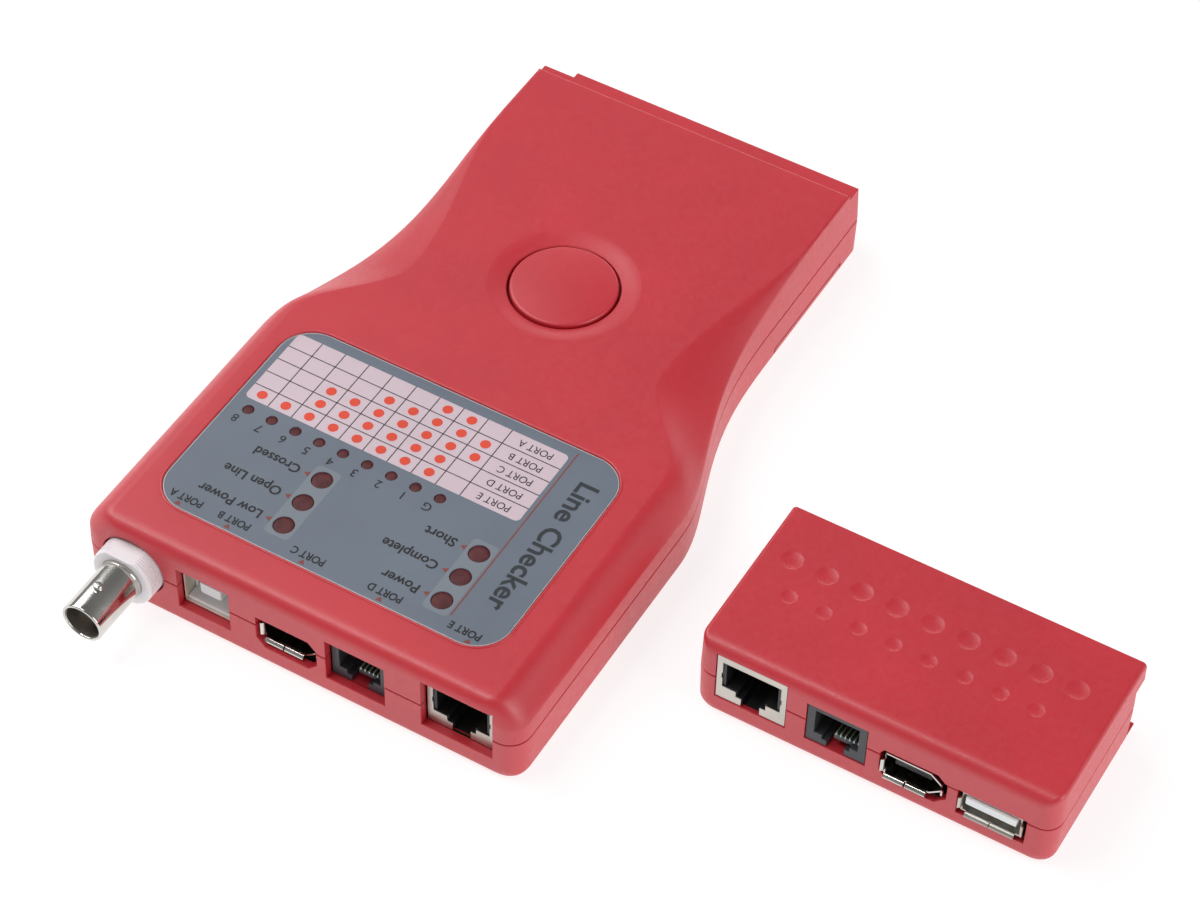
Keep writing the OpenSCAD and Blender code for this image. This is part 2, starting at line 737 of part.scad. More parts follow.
// Cross-sections of the remote above and below its parting line
remote_back_y = remote_y + remote_len;
remote_steps = [0, 0.15, 0.5, 1, 1.7, 2.5, 3.3, 4.1];
function remote_half(y, t) =
    let (d = y - remote_y - t) remote_w / 2 - t - corner_in(d, remote_front_r - t / 2);
function remote_upper(y, t) =
    let (w = remote_half(y, t), r = remote_edge_r,
         top = remote_h - t - corner_in(y - remote_y - t, remote_front_top_r))
    concat([[w, y, part_z - (t > 0 ? tiny : 0)]],
           [for (a = [0 : 22.5 : 90]) [w - 0.25 - r + r * cos(a), y, top - r + r * sin(a)]]);
function remote_lower(y, t) =
    let (w = remote_half(y, t), r = bottom_r - t / 2,
         base = t + corner_in(y - remote_y - t, r))
    concat([for (k = [0 : 4]) let (a = 90 * k / 4) [w - 0.2 - r + r * sin(a), y, base + r - r * cos(a)]],
           [[w, y, part_z + (t > 0 ? tiny : 0)]]);

module remote_skin(upper, t, y1) {
    ys = concat([for (d = remote_steps) remote_y + t + d], [y1]);
    translate([remote_x, 0, 0])
        loft([for (y = ys) both_sides(upper ? remote_upper(y, t) : remote_lower(y, t))]);
}

module remote_channel() {
    block(remote_x, remote_w + 10, remote_back_y - dock_lip, remote_back_y + 1,
          channel_z[0], channel_z[1]);
}

module remote_openings() {
    y0 = remote_y - 1;
    y1 = remote_y + remote_wall + 2.5;
    g = 0.3;
    block(remote_rj45_x, rj45_size[0] + g, y0, y1, seat_z - g / 2, seat_z + rj45_size[2] + g / 2);
    block(remote_rj11_x, rj11_size[0] + g, y0, y1, seat_z - g / 2, seat_z + rj11_size[2] + g / 2);
    along_y(remote_firewire_x, y0, seat_z, y1 - y0)
        polygon([[-7.4, 1.2], [-5.6, -1.1], [5, -1.1], [7.5, 1.4], [7.5, 5.6], [5.2, 7.8],
                 [-6.6, 7.8], [-7.4, 6.6]]);
    block(remote_usb_x, usb_a_size[0] + 1.8, y0, y1, seat_z - 1, seat_z + usb_a_size[2] + 0.5);
}

// Two rows of round dimples for grip
module remote_dimples() {
    for (i = [0 : 8]) translate([remote_x - 33.3 + i * 8.02, remote_y + 27.7, remote_h + 5.6])
        sphere(r = 6.2);
    for (i = [0 : 7]) translate([remote_x - 29.3 + i * 7.9, remote_y + 18.9, remote_h + 3.2])
        sphere(r = 3.7);
}

module remote_top_shell() {
    color(shell_red) difference() {
        union() {
            difference() {
                remote_skin(true, 0, remote_back_y);
                remote_skin(true, remote_wall, remote_back_y - dock_lip - remote_wall);
            }
            for (p = remote_screw_at) post(remote_x + p[0], p[1], boss_r, part_z, remote_h - 1);
        }
        for (p = remote_screw_at) post(remote_x + p[0], p[1], pilot_r, part_z - 1, remote_h - 3);
        remote_channel();
        remote_openings();
        remote_dimples();
    }
}

module remote_bottom_shell() {
    color(shell_red) difference() {
        union() {
            difference() {
                remote_skin(false, 0, remote_back_y);
                remote_skin(false, remote_wall, remote_back_y - dock_lip - remote_wall);
            }
            for (p = remote_screw_at)
                post(remote_x + p[0], p[1], boss_r, remote_wall - tiny, part_z - slack);
            for (x = [-37, 0], y = [-38, -20])
                post(remote_x + x, y, 1.6, remote_wall - tiny, board_z);
        }
        for (p = remote_screw_at) {
            post(remote_x + p[0], p[1], screw_r + 0.15, -1, part_z + 1);
            post(remote_x + p[0], p[1], head_hole_r, -1, wall + 2);
        }
        remote_channel();
        remote_openings();
        translate([remote_x, 0, part_z - slack]) block(0, 100, -100, 50, 0, 5);
    }
}

module remote_board() {
    color([0.10, 0.38, 0.22]) difference() {
        block(remote_x, 74, remote_y + remote_wall + 0.5, -21, board_z, seat_z);
        for (i = [-1, 1]) {
            block(remote_firewire_x + i * 4, 1.2, remote_jack_y + 7.8, remote_jack_y + 9, 0, 10);
            block(remote_usb_x + i * 5.2, 1.2, remote_jack_y + 8.8, remote_jack_y + 10, 0, 10);
        }
    }
}

module remote_screws() {
    color([0.55, 0.56, 0.58]) for (p = remote_screw_at) screw(remote_x + p[0], p[1], part_z + 3);
}

module rj45_shield() { rj45_shield_at(rj45_x, jack_y); }
module rj45_housing() { rj45_housing_at(rj45_x, jack_y); }
module rj45_contacts() { rj45_contacts_at(rj45_x, jack_y); }
module rj11_housing() { rj11_housing_at(rj11_x, jack_y); }
module rj11_contacts() { rj11_contacts_at(rj11_x, jack_y); }
module firewire_shell() { firewire_shell_at(firewire_x, jack_y, firewire_lift); }
module firewire_insert() { firewire_insert_at(firewire_x, jack_y, firewire_lift); }
module remote_rj45_shield() { rj45_shield_at(remote_rj45_x, remote_jack_y); }
module remote_rj45_housing() { rj45_housing_at(remote_rj45_x, remote_jack_y); }
module remote_rj45_contacts() { rj45_contacts_at(remote_rj45_x, remote_jack_y); }
module remote_rj11_housing() { rj11_housing_at(remote_rj11_x, remote_jack_y); }
module remote_rj11_contacts() { rj11_contacts_at(remote_rj11_x, remote_jack_y); }
module remote_firewire_shell() {
    firewire_shell_at(remote_firewire_x, remote_jack_y, remote_firewire_lift);
}
module remote_firewire_insert() {
    firewire_insert_at(remote_firewire_x, remote_jack_y, remote_firewire_lift);
}
module remote_usb_shell() { usb_a_shell_at(remote_usb_x, remote_jack_y); }
module remote_usb_insert() { usb_a_insert_at(remote_usb_x, remote_jack_y); }

top_shell();
bottom_shell();
battery_cover();
label_overlay();
pin_leds();
status_leds();
main_board();
display_board();
board_header();
switch_body();
switch_plunger();
power_button();
button_spring();
bnc_barrel();
bnc_collar();
bnc_insulator();
bnc_contact();
usb_b_shell();
usb_b_insert();
firewire_shell();
firewire_insert();
rj11_housing();
rj11_contacts();
rj45_shield();
rj45_housing();
rj45_contacts();
battery();
battery_snap();
battery_leads();
case_screws();
remote_top_shell();
remote_bottom_shell();
remote_board();
remote_rj45_shield();
remote_rj45_housing();
remote_rj45_contacts();
remote_rj11_housing();
remote_rj11_contacts();
remote_firewire_shell();
remote_firewire_insert();
remote_usb_shell();
remote_usb_insert();
remote_screws();
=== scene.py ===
import math

import bmesh
import bpy
from mathutils import Matrix, Vector


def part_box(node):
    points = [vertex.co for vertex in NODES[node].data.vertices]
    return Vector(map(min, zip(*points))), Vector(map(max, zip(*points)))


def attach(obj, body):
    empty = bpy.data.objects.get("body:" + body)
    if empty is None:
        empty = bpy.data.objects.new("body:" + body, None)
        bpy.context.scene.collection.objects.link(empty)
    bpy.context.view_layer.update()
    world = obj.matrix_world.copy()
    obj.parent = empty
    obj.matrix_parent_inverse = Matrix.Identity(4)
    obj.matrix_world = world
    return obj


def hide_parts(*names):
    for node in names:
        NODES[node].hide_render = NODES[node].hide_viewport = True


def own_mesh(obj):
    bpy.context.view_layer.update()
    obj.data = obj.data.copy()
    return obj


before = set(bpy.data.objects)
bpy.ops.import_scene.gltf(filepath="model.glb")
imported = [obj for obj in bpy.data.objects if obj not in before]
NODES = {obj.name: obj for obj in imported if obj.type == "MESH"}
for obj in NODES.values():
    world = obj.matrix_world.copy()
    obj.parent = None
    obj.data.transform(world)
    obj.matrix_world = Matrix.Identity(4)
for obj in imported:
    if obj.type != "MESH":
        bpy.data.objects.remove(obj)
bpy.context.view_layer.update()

# Shapes are built in millimetres in the CAD frame, and scaled to metres when they are finished.
MM = 0.001
SCENE = bpy.context.scene


def box_mm(node):
    low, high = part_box(node)
    return low / MM, high / MM


def middle(node):
    low, high = box_mm(node)
    return (low + high) / 2


# ---------------------------------------------------------------- sizes of the main unit
BODY_L = 168
FAR_W = 82
PART_Z = 12
WALL = 2
FRONT_R = 5
BOTTOM_R = 2.6
FRONT_TOP_R = 3.2
NECK_BACK_Y = 46
NECK_FRONT_Y = -18
SIDE_EDGE_Z = 16.6
HOLLOW_HALF_W = 31
FLAT_HALF_W = 46
LEDGE_L = 4.7
LEDGE_DROP = 1.5
NOTCH_X = -32.8
NOTCH_L = 2
CREASE = 0.35
# Width of each half of the parting line, and the rounding of a hole's rim
SEAM = 0.26
EDGE_R = 0.3

SHELL_LOW, SHELL_HIGH = box_mm("bottom_shell")
LABEL_LOW, LABEL_HIGH = box_mm("label_overlay")
FRONT_Y = SHELL_LOW.y
END_Y = FRONT_Y + BODY_L
FRONT_W = 2 * SHELL_HIGH.x
LABEL_TOP = LABEL_HIGH.z
TOP_Z = LABEL_TOP + 0.1
LABEL_R = 8
LABEL_MID = (LABEL_LOW + LABEL_HIGH) / 2
LABEL_W = LABEL_HIGH.x - LABEL_LOW.x
LABEL_L = LABEL_HIGH.y - LABEL_LOW.y
BUTTON_Y = middle("power_button").y
WELL_R = 12.55
DISH_R = 17.4
DISH_FALL = 0.95
SEAT_Z = 6

# ---------------------------------------------------------------- sizes of the remote
REMOTE_LOW, REMOTE_HIGH = box_mm("remote_bottom_shell")
REMOTE_X = (REMOTE_LOW.x + REMOTE_HIGH.x) / 2
REMOTE_W = REMOTE_HIGH.x - REMOTE_LOW.x
REMOTE_Y = REMOTE_LOW.y
REMOTE_BACK_Y = REMOTE_HIGH.y
REMOTE_H = box_mm("remote_top_shell")[1].z
REMOTE_WALL = 1.8
REMOTE_FRONT_R = 4
REMOTE_EDGE_R = 1
DOCK_LIP = 4.4
CHANNEL_Z = (1.8, 16.7)


# ---------------------------------------------------------------- materials
COAT_ROUGHNESS = 0.12
# The middle of a noise, where nearly all of its values lie
NOISE_MIDDLE = (0.3, 0.7)


def shader_of(mat):
    return mat.node_tree.nodes["Principled BSDF"]


def material(name, color, roughness, metallic=0.0, specular=0.5, coat=0.0, ior=None):
    """A new Principled material with its even values set."""
    mat = bpy.data.materials.new(name)
    mat.use_nodes = True
    shader = shader_of(mat)
    shader.inputs["Base Color"].default_value = (*color, 1)
    shader.inputs["Roughness"].default_value = roughness
    shader.inputs["Metallic"].default_value = metallic
    shader.inputs["Specular IOR Level"].default_value = specular
    shader.inputs["Coat Weight"].default_value = coat
    shader.inputs["Coat Roughness"].default_value = COAT_ROUGHNESS
    if ior:
        shader.inputs["IOR"].default_value = ior
    return mat


def node(mat, kind, **values):
    made = mat.node_tree.nodes.new(kind)
    for key, value in values.items():
        if key in made.inputs:
            made.inputs[key].default_value = value
        else:
            setattr(made, key, value)
    return made


def link(mat, source, target):
    mat.node_tree.links.new(source, target)


def place_of(mat):
    """Object coordinates, which are the CAD frame in metres."""
    return node(mat, "ShaderNodeTexCoord").outputs["Object"]


def noise(mat, per_metre, detail=2.0, stretch=None):
    made = node(mat, "ShaderNodeTexNoise", Scale=per_metre, Detail=detail)
    source = place_of(mat)
    if stretch:
        mapping = node(mat, "ShaderNodeMapping", Scale=stretch)
        link(mat, source, mapping.inputs["Vector"])
        source = mapping.outputs["Vector"]
    link(mat, source, made.inputs["Vector"])
    return made.outputs["Fac"]


def spread(mat, value, low, high):
    """Maps the middle of a noise to the range low to high."""
    ends = dict(zip(("From Min", "From Max", "To Min", "To Max"), (*NOISE_MIDDLE, low, high)))
    made = node(mat, "ShaderNodeMapRange", **ends)
    link(mat, value, made.inputs["Value"])
    return made.outputs["Result"]


def vary_color(mat, value, dark, light):
    mix = node(mat, "ShaderNodeMix", data_type="RGBA")
    for socket, color in zip((s for s in mix.inputs if s.type == "RGBA"), (dark, light)):
        socket.default_value = (*color, 1)
    link(mat, spread(mat, value, 0, 1), mix.inputs["Factor"])
    out = next(s for s in mix.outputs if s.type == "RGBA")
    link(mat, out, shader_of(mat).inputs["Base Color"])


def vary_roughness(mat, value, low, high):
    link(mat, spread(mat, value, low, high), shader_of(mat).inputs["Roughness"])


def bumps(mat, *layers):
    """Each layer is (height source, strength, distance in metres)."""
    normal = None
    for value, strength, distance in layers:
        bump = node(mat, "ShaderNodeBump", Strength=strength, Distance=distance)
        link(mat, value, bump.inputs["Height"])
        if normal:
            link(mat, normal, bump.inputs["Normal"])
        normal = bump.outputs["Normal"]
    link(mat, normal, shader_of(mat).inputs["Normal"])


def moulded(name, color, roughness, grain=0.06, shift=0.06, specular=0.5, per_metre=3600, ior=None):
    """Moulded plastic: a fine grain over slow waves in colour and gloss."""
    mat = material(name, color, roughness, specular=specular, ior=ior)
    fine = noise(mat, per_metre, 3)
    slow = noise(mat, 45, 3)
    vary_color(mat, slow, [c * (1 - shift) for c in color], [c * (1 + shift) for c in color])
    vary_roughness(mat, noise(mat, 900, 2), roughness - 0.05, roughness + 0.05)
    bumps(mat, (fine, grain, 0.00012), (slow, 0.03, 0.0006))
    return mat


def plated(name, color, roughness, brushed=None, grain=0.03):
    """Bare or plated metal with faint handling marks; brushed stretches the grain along one axis."""
    mat = material(name, color, roughness, metallic=1.0)
    marks = noise(mat, 700, 4, brushed)
    cloud = noise(mat, 160, 3)
    vary_color(mat, cloud, [c * 0.88 for c in color], [min(c * 1.06, 1) for c in color])
    vary_roughness(mat, cloud, max(roughness - 0.05, 0.04), roughness + 0.08)
    bumps(mat, (marks, grain, 0.00005))
    return mat


RED = (0.62, 0.022, 0.038)
red_abs = moulded("red_abs", RED, 0.42, grain=0.22, shift=0.05, specular=0.65, per_metre=4200, ior=1.62)
label_grey = moulded("label_film", (0.166, 0.196, 0.243), 0.42, grain=0.10, per_metre=5200)
# Pale grey for a painted highlight along the label's edge
painted_highlight_grey = moulded("painted_edge_highlight", (0.55, 0.55, 0.57), 0.35, grain=0.05)
strip_grey = moulded("label_strip", (0.222, 0.250, 0.288), 0.40, grain=0.10, per_metre=5200)
label_pink = moulded("table_print", (0.70, 0.56, 0.62), 0.45, grain=0.05, shift=0.03)
ink_black = moulded("black_ink", (0.016, 0.015, 0.018), 0.5, grain=0.05)
ink_grey = moulded("dark_grey_ink", (0.030, 0.036, 0.042), 0.5, grain=0.05)
ink_red = moulded("red_ink", (0.80, 0.075, 0.035), 0.5, grain=0.05)
ink_brown = moulded("red_brown_ink", (0.26, 0.055, 0.045), 0.5, grain=0.05)
black_plastic = moulded("black_plastic", (0.016, 0.016, 0.018), 0.38, grain=0.10)
grey_plastic = moulded("grey_plastic", (0.045, 0.048, 0.055), 0.40, grain=0.12)
white_plastic = moulded("white_plastic", (0.95, 0.905, 0.93), 0.42, grain=0.08, shift=0.03)
usb_white = moulded("usb_white", (0.92, 0.965, 0.97), 0.40, grain=0.06, shift=0.03)
battery_jacket = moulded("battery_jacket", (0.05, 0.07, 0.12), 0.32, grain=0.04)
wire_jacket = moulded("wire_jacket", (0.36, 0.02, 0.02), 0.45, grain=0.08)
nickel = plated("nickel_plate", (0.70, 0.68, 0.64), 0.10)
frame_metal = plated("tin_frame", (0.88, 0.82, 0.72), 0.42, grain=0.06)
shield_metal = plated("satin_shield", (0.60, 0.57, 0.52), 0.34, brushed=(1, 1, 6), grain=0.08)
bore_metal = plated("bore_metal", (0.50, 0.46, 0.41), 0.42, grain=0.06)
spring_steel = plated("spring_steel", (0.55, 0.56, 0.58), 0.28)
gold = plated("gold_contact", (0.83, 0.66, 0.36), 0.22)
contact_wire = plated("contact_wire", (0.40, 0.54, 0.50), 0.42)


def lens_material():
    mat = material("led_lens", (0.10, 0.016, 0.018), 0.50, specular=0.4)
    cloud = noise(mat, 500, 2)
    vary_color(mat, cloud, (0.075, 0.014, 0.016), (0.13, 0.028, 0.030))
    bumps(mat, (noise(mat, 2600, 2), 0.05, 0.0001))
    return mat


def board_material():
    """Green solder mask with a faint weave of the glass cloth under it."""
    mat = material("circuit_board", (0.02, 0.13, 0.055), 0.30, coat=0.3)
    weave = node(mat, "ShaderNodeTexWave", Scale=900.0, Distortion=0.6)
    link(mat, place_of(mat), weave.inputs["Vector"])
    vary_color(mat, noise(mat, 300, 3), (0.012, 0.10, 0.040), (0.03, 0.17, 0.075))
    bumps(mat, (weave.outputs["Fac"], 0.06, 0.0001))
    return mat


led_lens = lens_material()
circuit_board = board_material()


# ---------------------------------------------------------------- mesh helpers
def add_object(name, data):
    made = bpy.data.objects.new(name, data)
    SCENE.collection.objects.link(made)
    return made


def new_object(name, points, faces):
    mesh = bpy.data.meshes.new(name)
    mesh.from_pydata([tuple(p) for p in points], [], faces)
    shape = bmesh.new()
    shape.from_mesh(mesh)
    bmesh.ops.recalc_face_normals(shape, faces=shape.faces)
    shape.to_mesh(mesh)
    shape.free()
    return add_object(name, mesh)


def loft(name, rings, caps=True):
    """A closed solid through rings of equal length: capped at both ends, or else joined end to end."""
    count, total = len(rings[0]), len(rings)
    faces = [list(range(count)), [(total - 1) * count + i for i in range(count)]] if caps else []
    for k in range(total - 1 if caps else total):
        n = (k + 1) % total
        for i in range(count):
            j = (i + 1) % count
            faces.append([k * count + i, k * count + j, n * count + j, n * count + i])
    return new_object(name, [p for ring in rings for p in ring], faces)


def turned(at, axis, radius, height, turn):
    """A point at a radius and a height from at, turned round an axis."""
    u, v = radius * math.cos(turn), radius * math.sin(turn)
    return (at[0] + u, at[1] + v, at[2] + height) if axis == "Z" else (at[0] + u, at[1] + height, at[2] + v)


def lathe(name, profile, at, axis="Z", steps=64):
    """Turns a profile of (radius, height) round an axis through at. The ends of the profile are closed."""
    turns = [2 * math.pi * k / steps for k in range(steps)]
    return loft(name, [[turned(at, axis, r, h, a) for a in turns] for r, h in profile])


def tube(name, profile, at, axis="Z", steps=64):
    """Turns a closed profile of (radius, height) that doesn't reach the axis: a ring or a pipe."""
    turns = [2 * math.pi * k / steps for k in range(steps)]
    return loft(name, [[turned(at, axis, r, h, a) for r, h in profile] for a in turns], caps=False)


def block(name, low, high):
    xs, ys, zs = zip(low, high)
    return loft(name, [[(x, y, z) for x, y in rectangle(*xs, *ys)] for z in zs])


def along_y(outline, x, z, *depths):
    """An outline in X and Z round a middle, lofted along Y."""
    return loft("part", [[(x + u, y, z + w) for u, w in outline] for y in depths])


def boolean(target, other, operation="DIFFERENCE"):
    """Applies one boolean and removes the tool object."""
    change = target.modifiers.new("boolean", "BOOLEAN")
    change.operation = operation
    change.solver = "MANIFOLD"
    change.object = other
    graph = bpy.context.evaluated_depsgraph_get()
    mesh = bpy.data.meshes.new_from_object(target.evaluated_get(graph))
    if len(mesh.polygons) < 4:
        raise RuntimeError(f"boolean of {other.name} left nothing of {target.name}")
    target.modifiers.clear()
    old = target.data
    target.data = mesh
    bpy.data.meshes.remove(old)
    bpy.data.objects.remove(other)
    return target


def combine(name, parts):
    """Joins separate meshes into one object without a boolean."""
    shape = bmesh.new()
    for part in parts:
        shape.from_mesh(part.data)
        bpy.data.objects.remove(part)
    mesh = bpy.data.meshes.new(name)
    shape.to_mesh(mesh)
    shape.free()
    return add_object(name, mesh)


def offset(outline, distance):
    """Moves a counter-clockwise outline outwards, keeping its corners sharp."""
    moved = []
    for i, here in enumerate(outline):
        before, after = outline[i - 1], outline[(i + 1) % len(outline)]
        a = (Vector(here) - Vector(before)).normalized()
        b = (Vector(after) - Vector(here)).normalized()
        na, nb = Vector((a.y, -a.x)), Vector((b.y, -b.x))
        moved.append(Vector(here) + (na + nb) * (distance / (1 + na.dot(nb))))
    return moved


def rounded(outline_w, outline_l, radius, steps=8):
    """A counter-clockwise rectangle with round corners, centred."""
    points = []
    for cx, cy, start in ((1, 1, 0), (-1, 1, 90), (-1, -1, 180), (1, -1, 270)):
        for k in range(steps + 1):
            a = math.radians(start + 90 * k / steps)
            points.append(((outline_w / 2 - radius) * cx + radius * math.cos(a),
                           (outline_l / 2 - radius) * cy + radius * math.sin(a)))
    return points


def circle(radius, steps=48):
    return [(radius * math.cos(2 * math.pi * k / steps), radius * math.sin(2 * math.pi * k / steps))
            for k in range(steps)]


def rim_steps(radius, steps=3):
    """Depth and growth of a hole's outline through the rounded rim at its mouth."""
    angles = [math.radians(90 * k / steps) for k in range(steps + 1)]
    return [(radius * (1 - math.cos(a)), radius * (1 - math.sin(a))) for a in angles]


def hole_tool(outline, depth, put, rim=EDGE_R, above=1.5):
    """A cutter for a hole with a rounded rim. put(u, v, depth) places a point in the frame."""
    levels = [(-above, rim)] + rim_steps(rim) + [(depth, 0)]
    rings = [[put(p[0], p[1], level) for p in offset(outline, growth)] for level, growth in levels]
    return loft("tool", rings)


def into_front(x, z, face_y):
    """Outline in X and Z round a middle, going in along +Y from a front face."""
    return lambda u, v, depth: (x + u, face_y + depth, z + v)


def into_top(x, y, top):
    return lambda u, v, depth: (x + u, y + v, top - depth)


def from_below(x, y, bottom):
    return lambda u, v, depth: (x + u, y + v, bottom + depth)


def rectangle(x0, x1, z0, z1):
    return [(x0, z0), (x1, z0), (x1, z1), (x0, z1)]


def wear(piece, body, mat):
    """Gives a piece in metres its one material, and lets it ride."""
    piece.data.materials.clear()
    piece.data.materials.append(mat)
    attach(piece, body)
    return piece


def finish_piece(piece, body, mat, replaces=(), sharp=32, weighted=True):
    """Scales a piece to metres, shades it smooth between sharp edges and lets it ride."""
    piece.data.transform(Matrix.Scale(MM, 4))
    shade(piece, sharp, weighted)
    wear(piece, body, mat)
    if replaces:
        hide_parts(*replaces)
    return piece


def finish_shell(piece, node_name, body):
    """A red moulding that stands for a CAD node."""
    piece.name = node_name + "_skin"
    finish_piece(piece, body, red_abs, [node_name])


def soften(obj, width, angle=None):
    """Rounds an object's sharp edges in two steps."""
    edge = obj.modifiers.new("bevel", "BEVEL")
    edge.width = width * MM
    edge.segments = 2
    edge.limit_method = "ANGLE"
    if angle:
        edge.angle_limit = math.radians(angle)


def shade(piece, sharp=32, weighted=True):
    shape = bmesh.new()
    shape.from_mesh(piece.data)
    bmesh.ops.remove_doubles(shape, verts=shape.verts, dist=2e-6)
    bmesh.ops.dissolve_degenerate(shape, edges=shape.edges, dist=1e-6)
    for face in shape.faces:
        face.smooth = True
    limit = math.radians(sharp)
    for edge in shape.edges:
        edge.smooth = len(edge.link_faces) == 2 and edge.calc_face_angle(0) < limit
    shape.to_mesh(piece.data)
    shape.free()
    if weighted:
        normals = piece.modifiers.new("normals", "WEIGHTED_NORMAL")
        normals.keep_sharp = True
        normals.weight = 100


# ---------------------------------------------------------------- form of the main unit
def clip(t):
    return min(max(t, 0), 1)


def smooth(t):
    """An S-curve from 0 to 1."""
    u = clip(t)
    return u * u * (3 - 2 * u)


def corner_in(d, r):
    """How far a rounded corner of radius r lies inside its square corner, d along from the face."""
    if r <= 0:
        return 0
    return r - math.sqrt(max(r * r - (r - min(max(d, 0), r)) ** 2, 0))


def half_w(y):
    """Half width of the body: wide in front, narrow behind, and an S-curve between them."""
    t = clip((NECK_BACK_Y - y) / (NECK_BACK_Y - NECK_FRONT_Y))
    return FAR_W / 2 + (FRONT_W - FAR_W) / 2 * smooth(t ** 1.6)


def flat_w(y):
    """Half width of the flat top. It is least at the hollows beside the neck."""
    return (HOLLOW_HALF_W + (FAR_W / 2 - 0.5 - HOLLOW_HALF_W) * smooth((y - 11) / 55)
            + (FLAT_HALF_W - HOLLOW_HALF_W) * smooth((10 - y) / 24))


def edge_z(y):
    """Height of the edge where the slope beside the flat top meets the side wall."""
    return SIDE_EDGE_Z + (TOP_Z - 0.25 - SIDE_EDGE_Z) * smooth((y - 4) / 62)


def crease(y):
    """How sharply the slope leaves the flat top: 0 where it leaves it smoothly."""
    return CREASE * smooth((y + 14) / 14) * smooth((50 - y) / 30)


def slope(s, a):
    """Share of the slope's fall, at a share s of its width."""
    return a * s + (1 - a) * s * s


END_R = 0.5
FRONT_STEPS = [0, 0.04, 0.15, 0.35, 0.65, 1.05, 1.6, 2.2, 2.9, 3.7, 5]
SLOPE_STEPS = 18
WALL_EDGE_R = 0.35


def stations(start, end, round_end):
    """Where the sections stand: close together at the front corner and along the neck."""
    ys = [start + d for d in FRONT_STEPS]
    y = start + 6
    while y < end - 1.5:
        ys.append(y)
        y += 1.6 if -22 < y < 68 else 4
    if round_end:
        return ys + [end - END_R, end - 0.25 * END_R, end - 0.06 * END_R, end]
    return ys + [end]


def seam_in(y, front, back):
    """How far the parting line's bevel follows the ends of a shell."""
    return corner_in(y - front, SEAM) + corner_in(back - y, SEAM)


def ends_in(y, t, r):
    """How far the rounded ends pull a section in at y: the front corner, then the far corner."""
    front = corner_in(y - FRONT_Y - t, r)
    far = corner_in(END_Y - y, END_R) if t == 0 else 0
    return front + far


def upper_half(y, t):
    """Half a section of the top shell, t inside its outer face."""
    w0 = half_w(y) - t
    w = w0 - ends_in(y, t, FRONT_R - t / 2)
    top = TOP_Z - t - corner_in(y - FRONT_Y - t, FRONT_TOP_R)
    edge = min(edge_z(y) - t * 0.6, top - 0.2)
    lean = 0.05 * (edge - PART_Z)
    flat = min(flat_w(y) - t * 0.4, w0 - 1.2) * (w - 1) / (w0 - 1)
    out, a = w - lean, crease(y)
    seam = 0 if t else SEAM
    low = PART_Z + (seam_in(y, FRONT_Y, END_Y) if seam else -0.01)
    half = [(w - seam, low), (w - 0.3 * seam, low + 0.3 * seam), (w, low + seam)]
    # The slope meets the wall in a small round edge
    edge_r = 0 if t else WALL_EDGE_R
    for i in range(SLOPE_STEPS + 1):
        s = 1 - i / SLOPE_STEPS
        x = flat + (out - flat) * s
        z = top - (top - edge) * slope(s, a)
        if i == 0 and edge_r:
            half.append((w - lean * 0.9, z - edge_r))
            half.append((x - 0.3 * edge_r, z - 0.05 * edge_r))
        else:
            half.append((x, z))
    return [(x, y, z) for x, z in half]


def belly(y, t, w, front, back, end_r):
    """Half a section of a bottom shell, t inside its outer face and w wide."""
    r = BOTTOM_R - t / 2
    base = t + corner_in(y - front - t, r) + (corner_in(back - y, end_r) if t == 0 else 0)
    seam = 0 if t else SEAM
    top = PART_Z + 0.01 if t else PART_Z - SEAM - seam_in(y, front, back)
    half = []
    for k in range(9):
        a = math.radians(90 * k / 8)
        half.append((w - 0.2 - r + r * math.sin(a), base + r - r * math.cos(a)))
    half += [(w, top - seam), (w - 0.3 * seam, top - 0.3 * seam), (w - seam, top)]
    return [(x, y, z) for x, z in half]


def lower_half(y, t):
    return belly(y, t, half_w(y) - t - ends_in(y, t, FRONT_R - t / 2), FRONT_Y, END_Y, END_R)


def both_sides(half):
    return half + [(-x, y, z) for x, y, z in reversed(half)]


def upper_skin(t, end):
    return loft("skin", [both_sides(upper_half(y, t)) for y in stations(FRONT_Y + t, end, t == 0)])


def lower_skin(t, end):
    return loft("skin", [both_sides(lower_half(y, t)) for y in stations(FRONT_Y + t, end, t == 0)])


# ---------------------------------------------------------------- openings shared by both shells
def socket_mouth(x, w, h, gap_side, gap_top):
    return rectangle(x - w / 2 - gap_side, x + w / 2 + gap_side, SEAT_Z - 0.2, SEAT_Z + h + gap_top)


RJ45_X = middle("rj45_shield").x
RJ11_X = middle("rj11_housing").x
USB_B_X = middle("usb_b_shell").x
FIREWIRE_X = middle("firewire_insert").x
BNC_X = middle("bnc_barrel").x
WALL_DEPTH = WALL + 2.5


def front_tools():
    fire = [(-5.2, -0.2), (5.2, -0.2), (7.35, 2), (7.35, 6.4), (5.4, 8.4), (-7.35, 8.4), (-7.35, 2)]
    outlines = [socket_mouth(RJ45_X, 15.9, 13.1, 0.4, 0.5), socket_mouth(RJ11_X, 13.4, 11, 0.35, 0.5),
                socket_mouth(USB_B_X, 12, 10.8, 0.4, 0.6),
                [(FIREWIRE_X + x, SEAT_Z + z) for x, z in fire]]
    tools = [hole_tool(o, WALL_DEPTH, into_front(0, 0, FRONT_Y), rim=0.2) for o in outlines]
    tools.append(hole_tool(circle(7.6), WALL_DEPTH, into_front(BNC_X, PART_Z, FRONT_Y), rim=0.2))
    return tools


def cut_all(piece, tools):
    for tool in tools:
        boolean(piece, tool)


def upper_boss(x, y, top):
    """A hollow boss that the point of a screw goes into."""
    profile = [(PILOT_R, PART_Z), (BOSS_R, PART_Z), (BOSS_R, top), (PILOT_R, top)]
    return tube("tool", profile, (x, y, 0), steps=32)


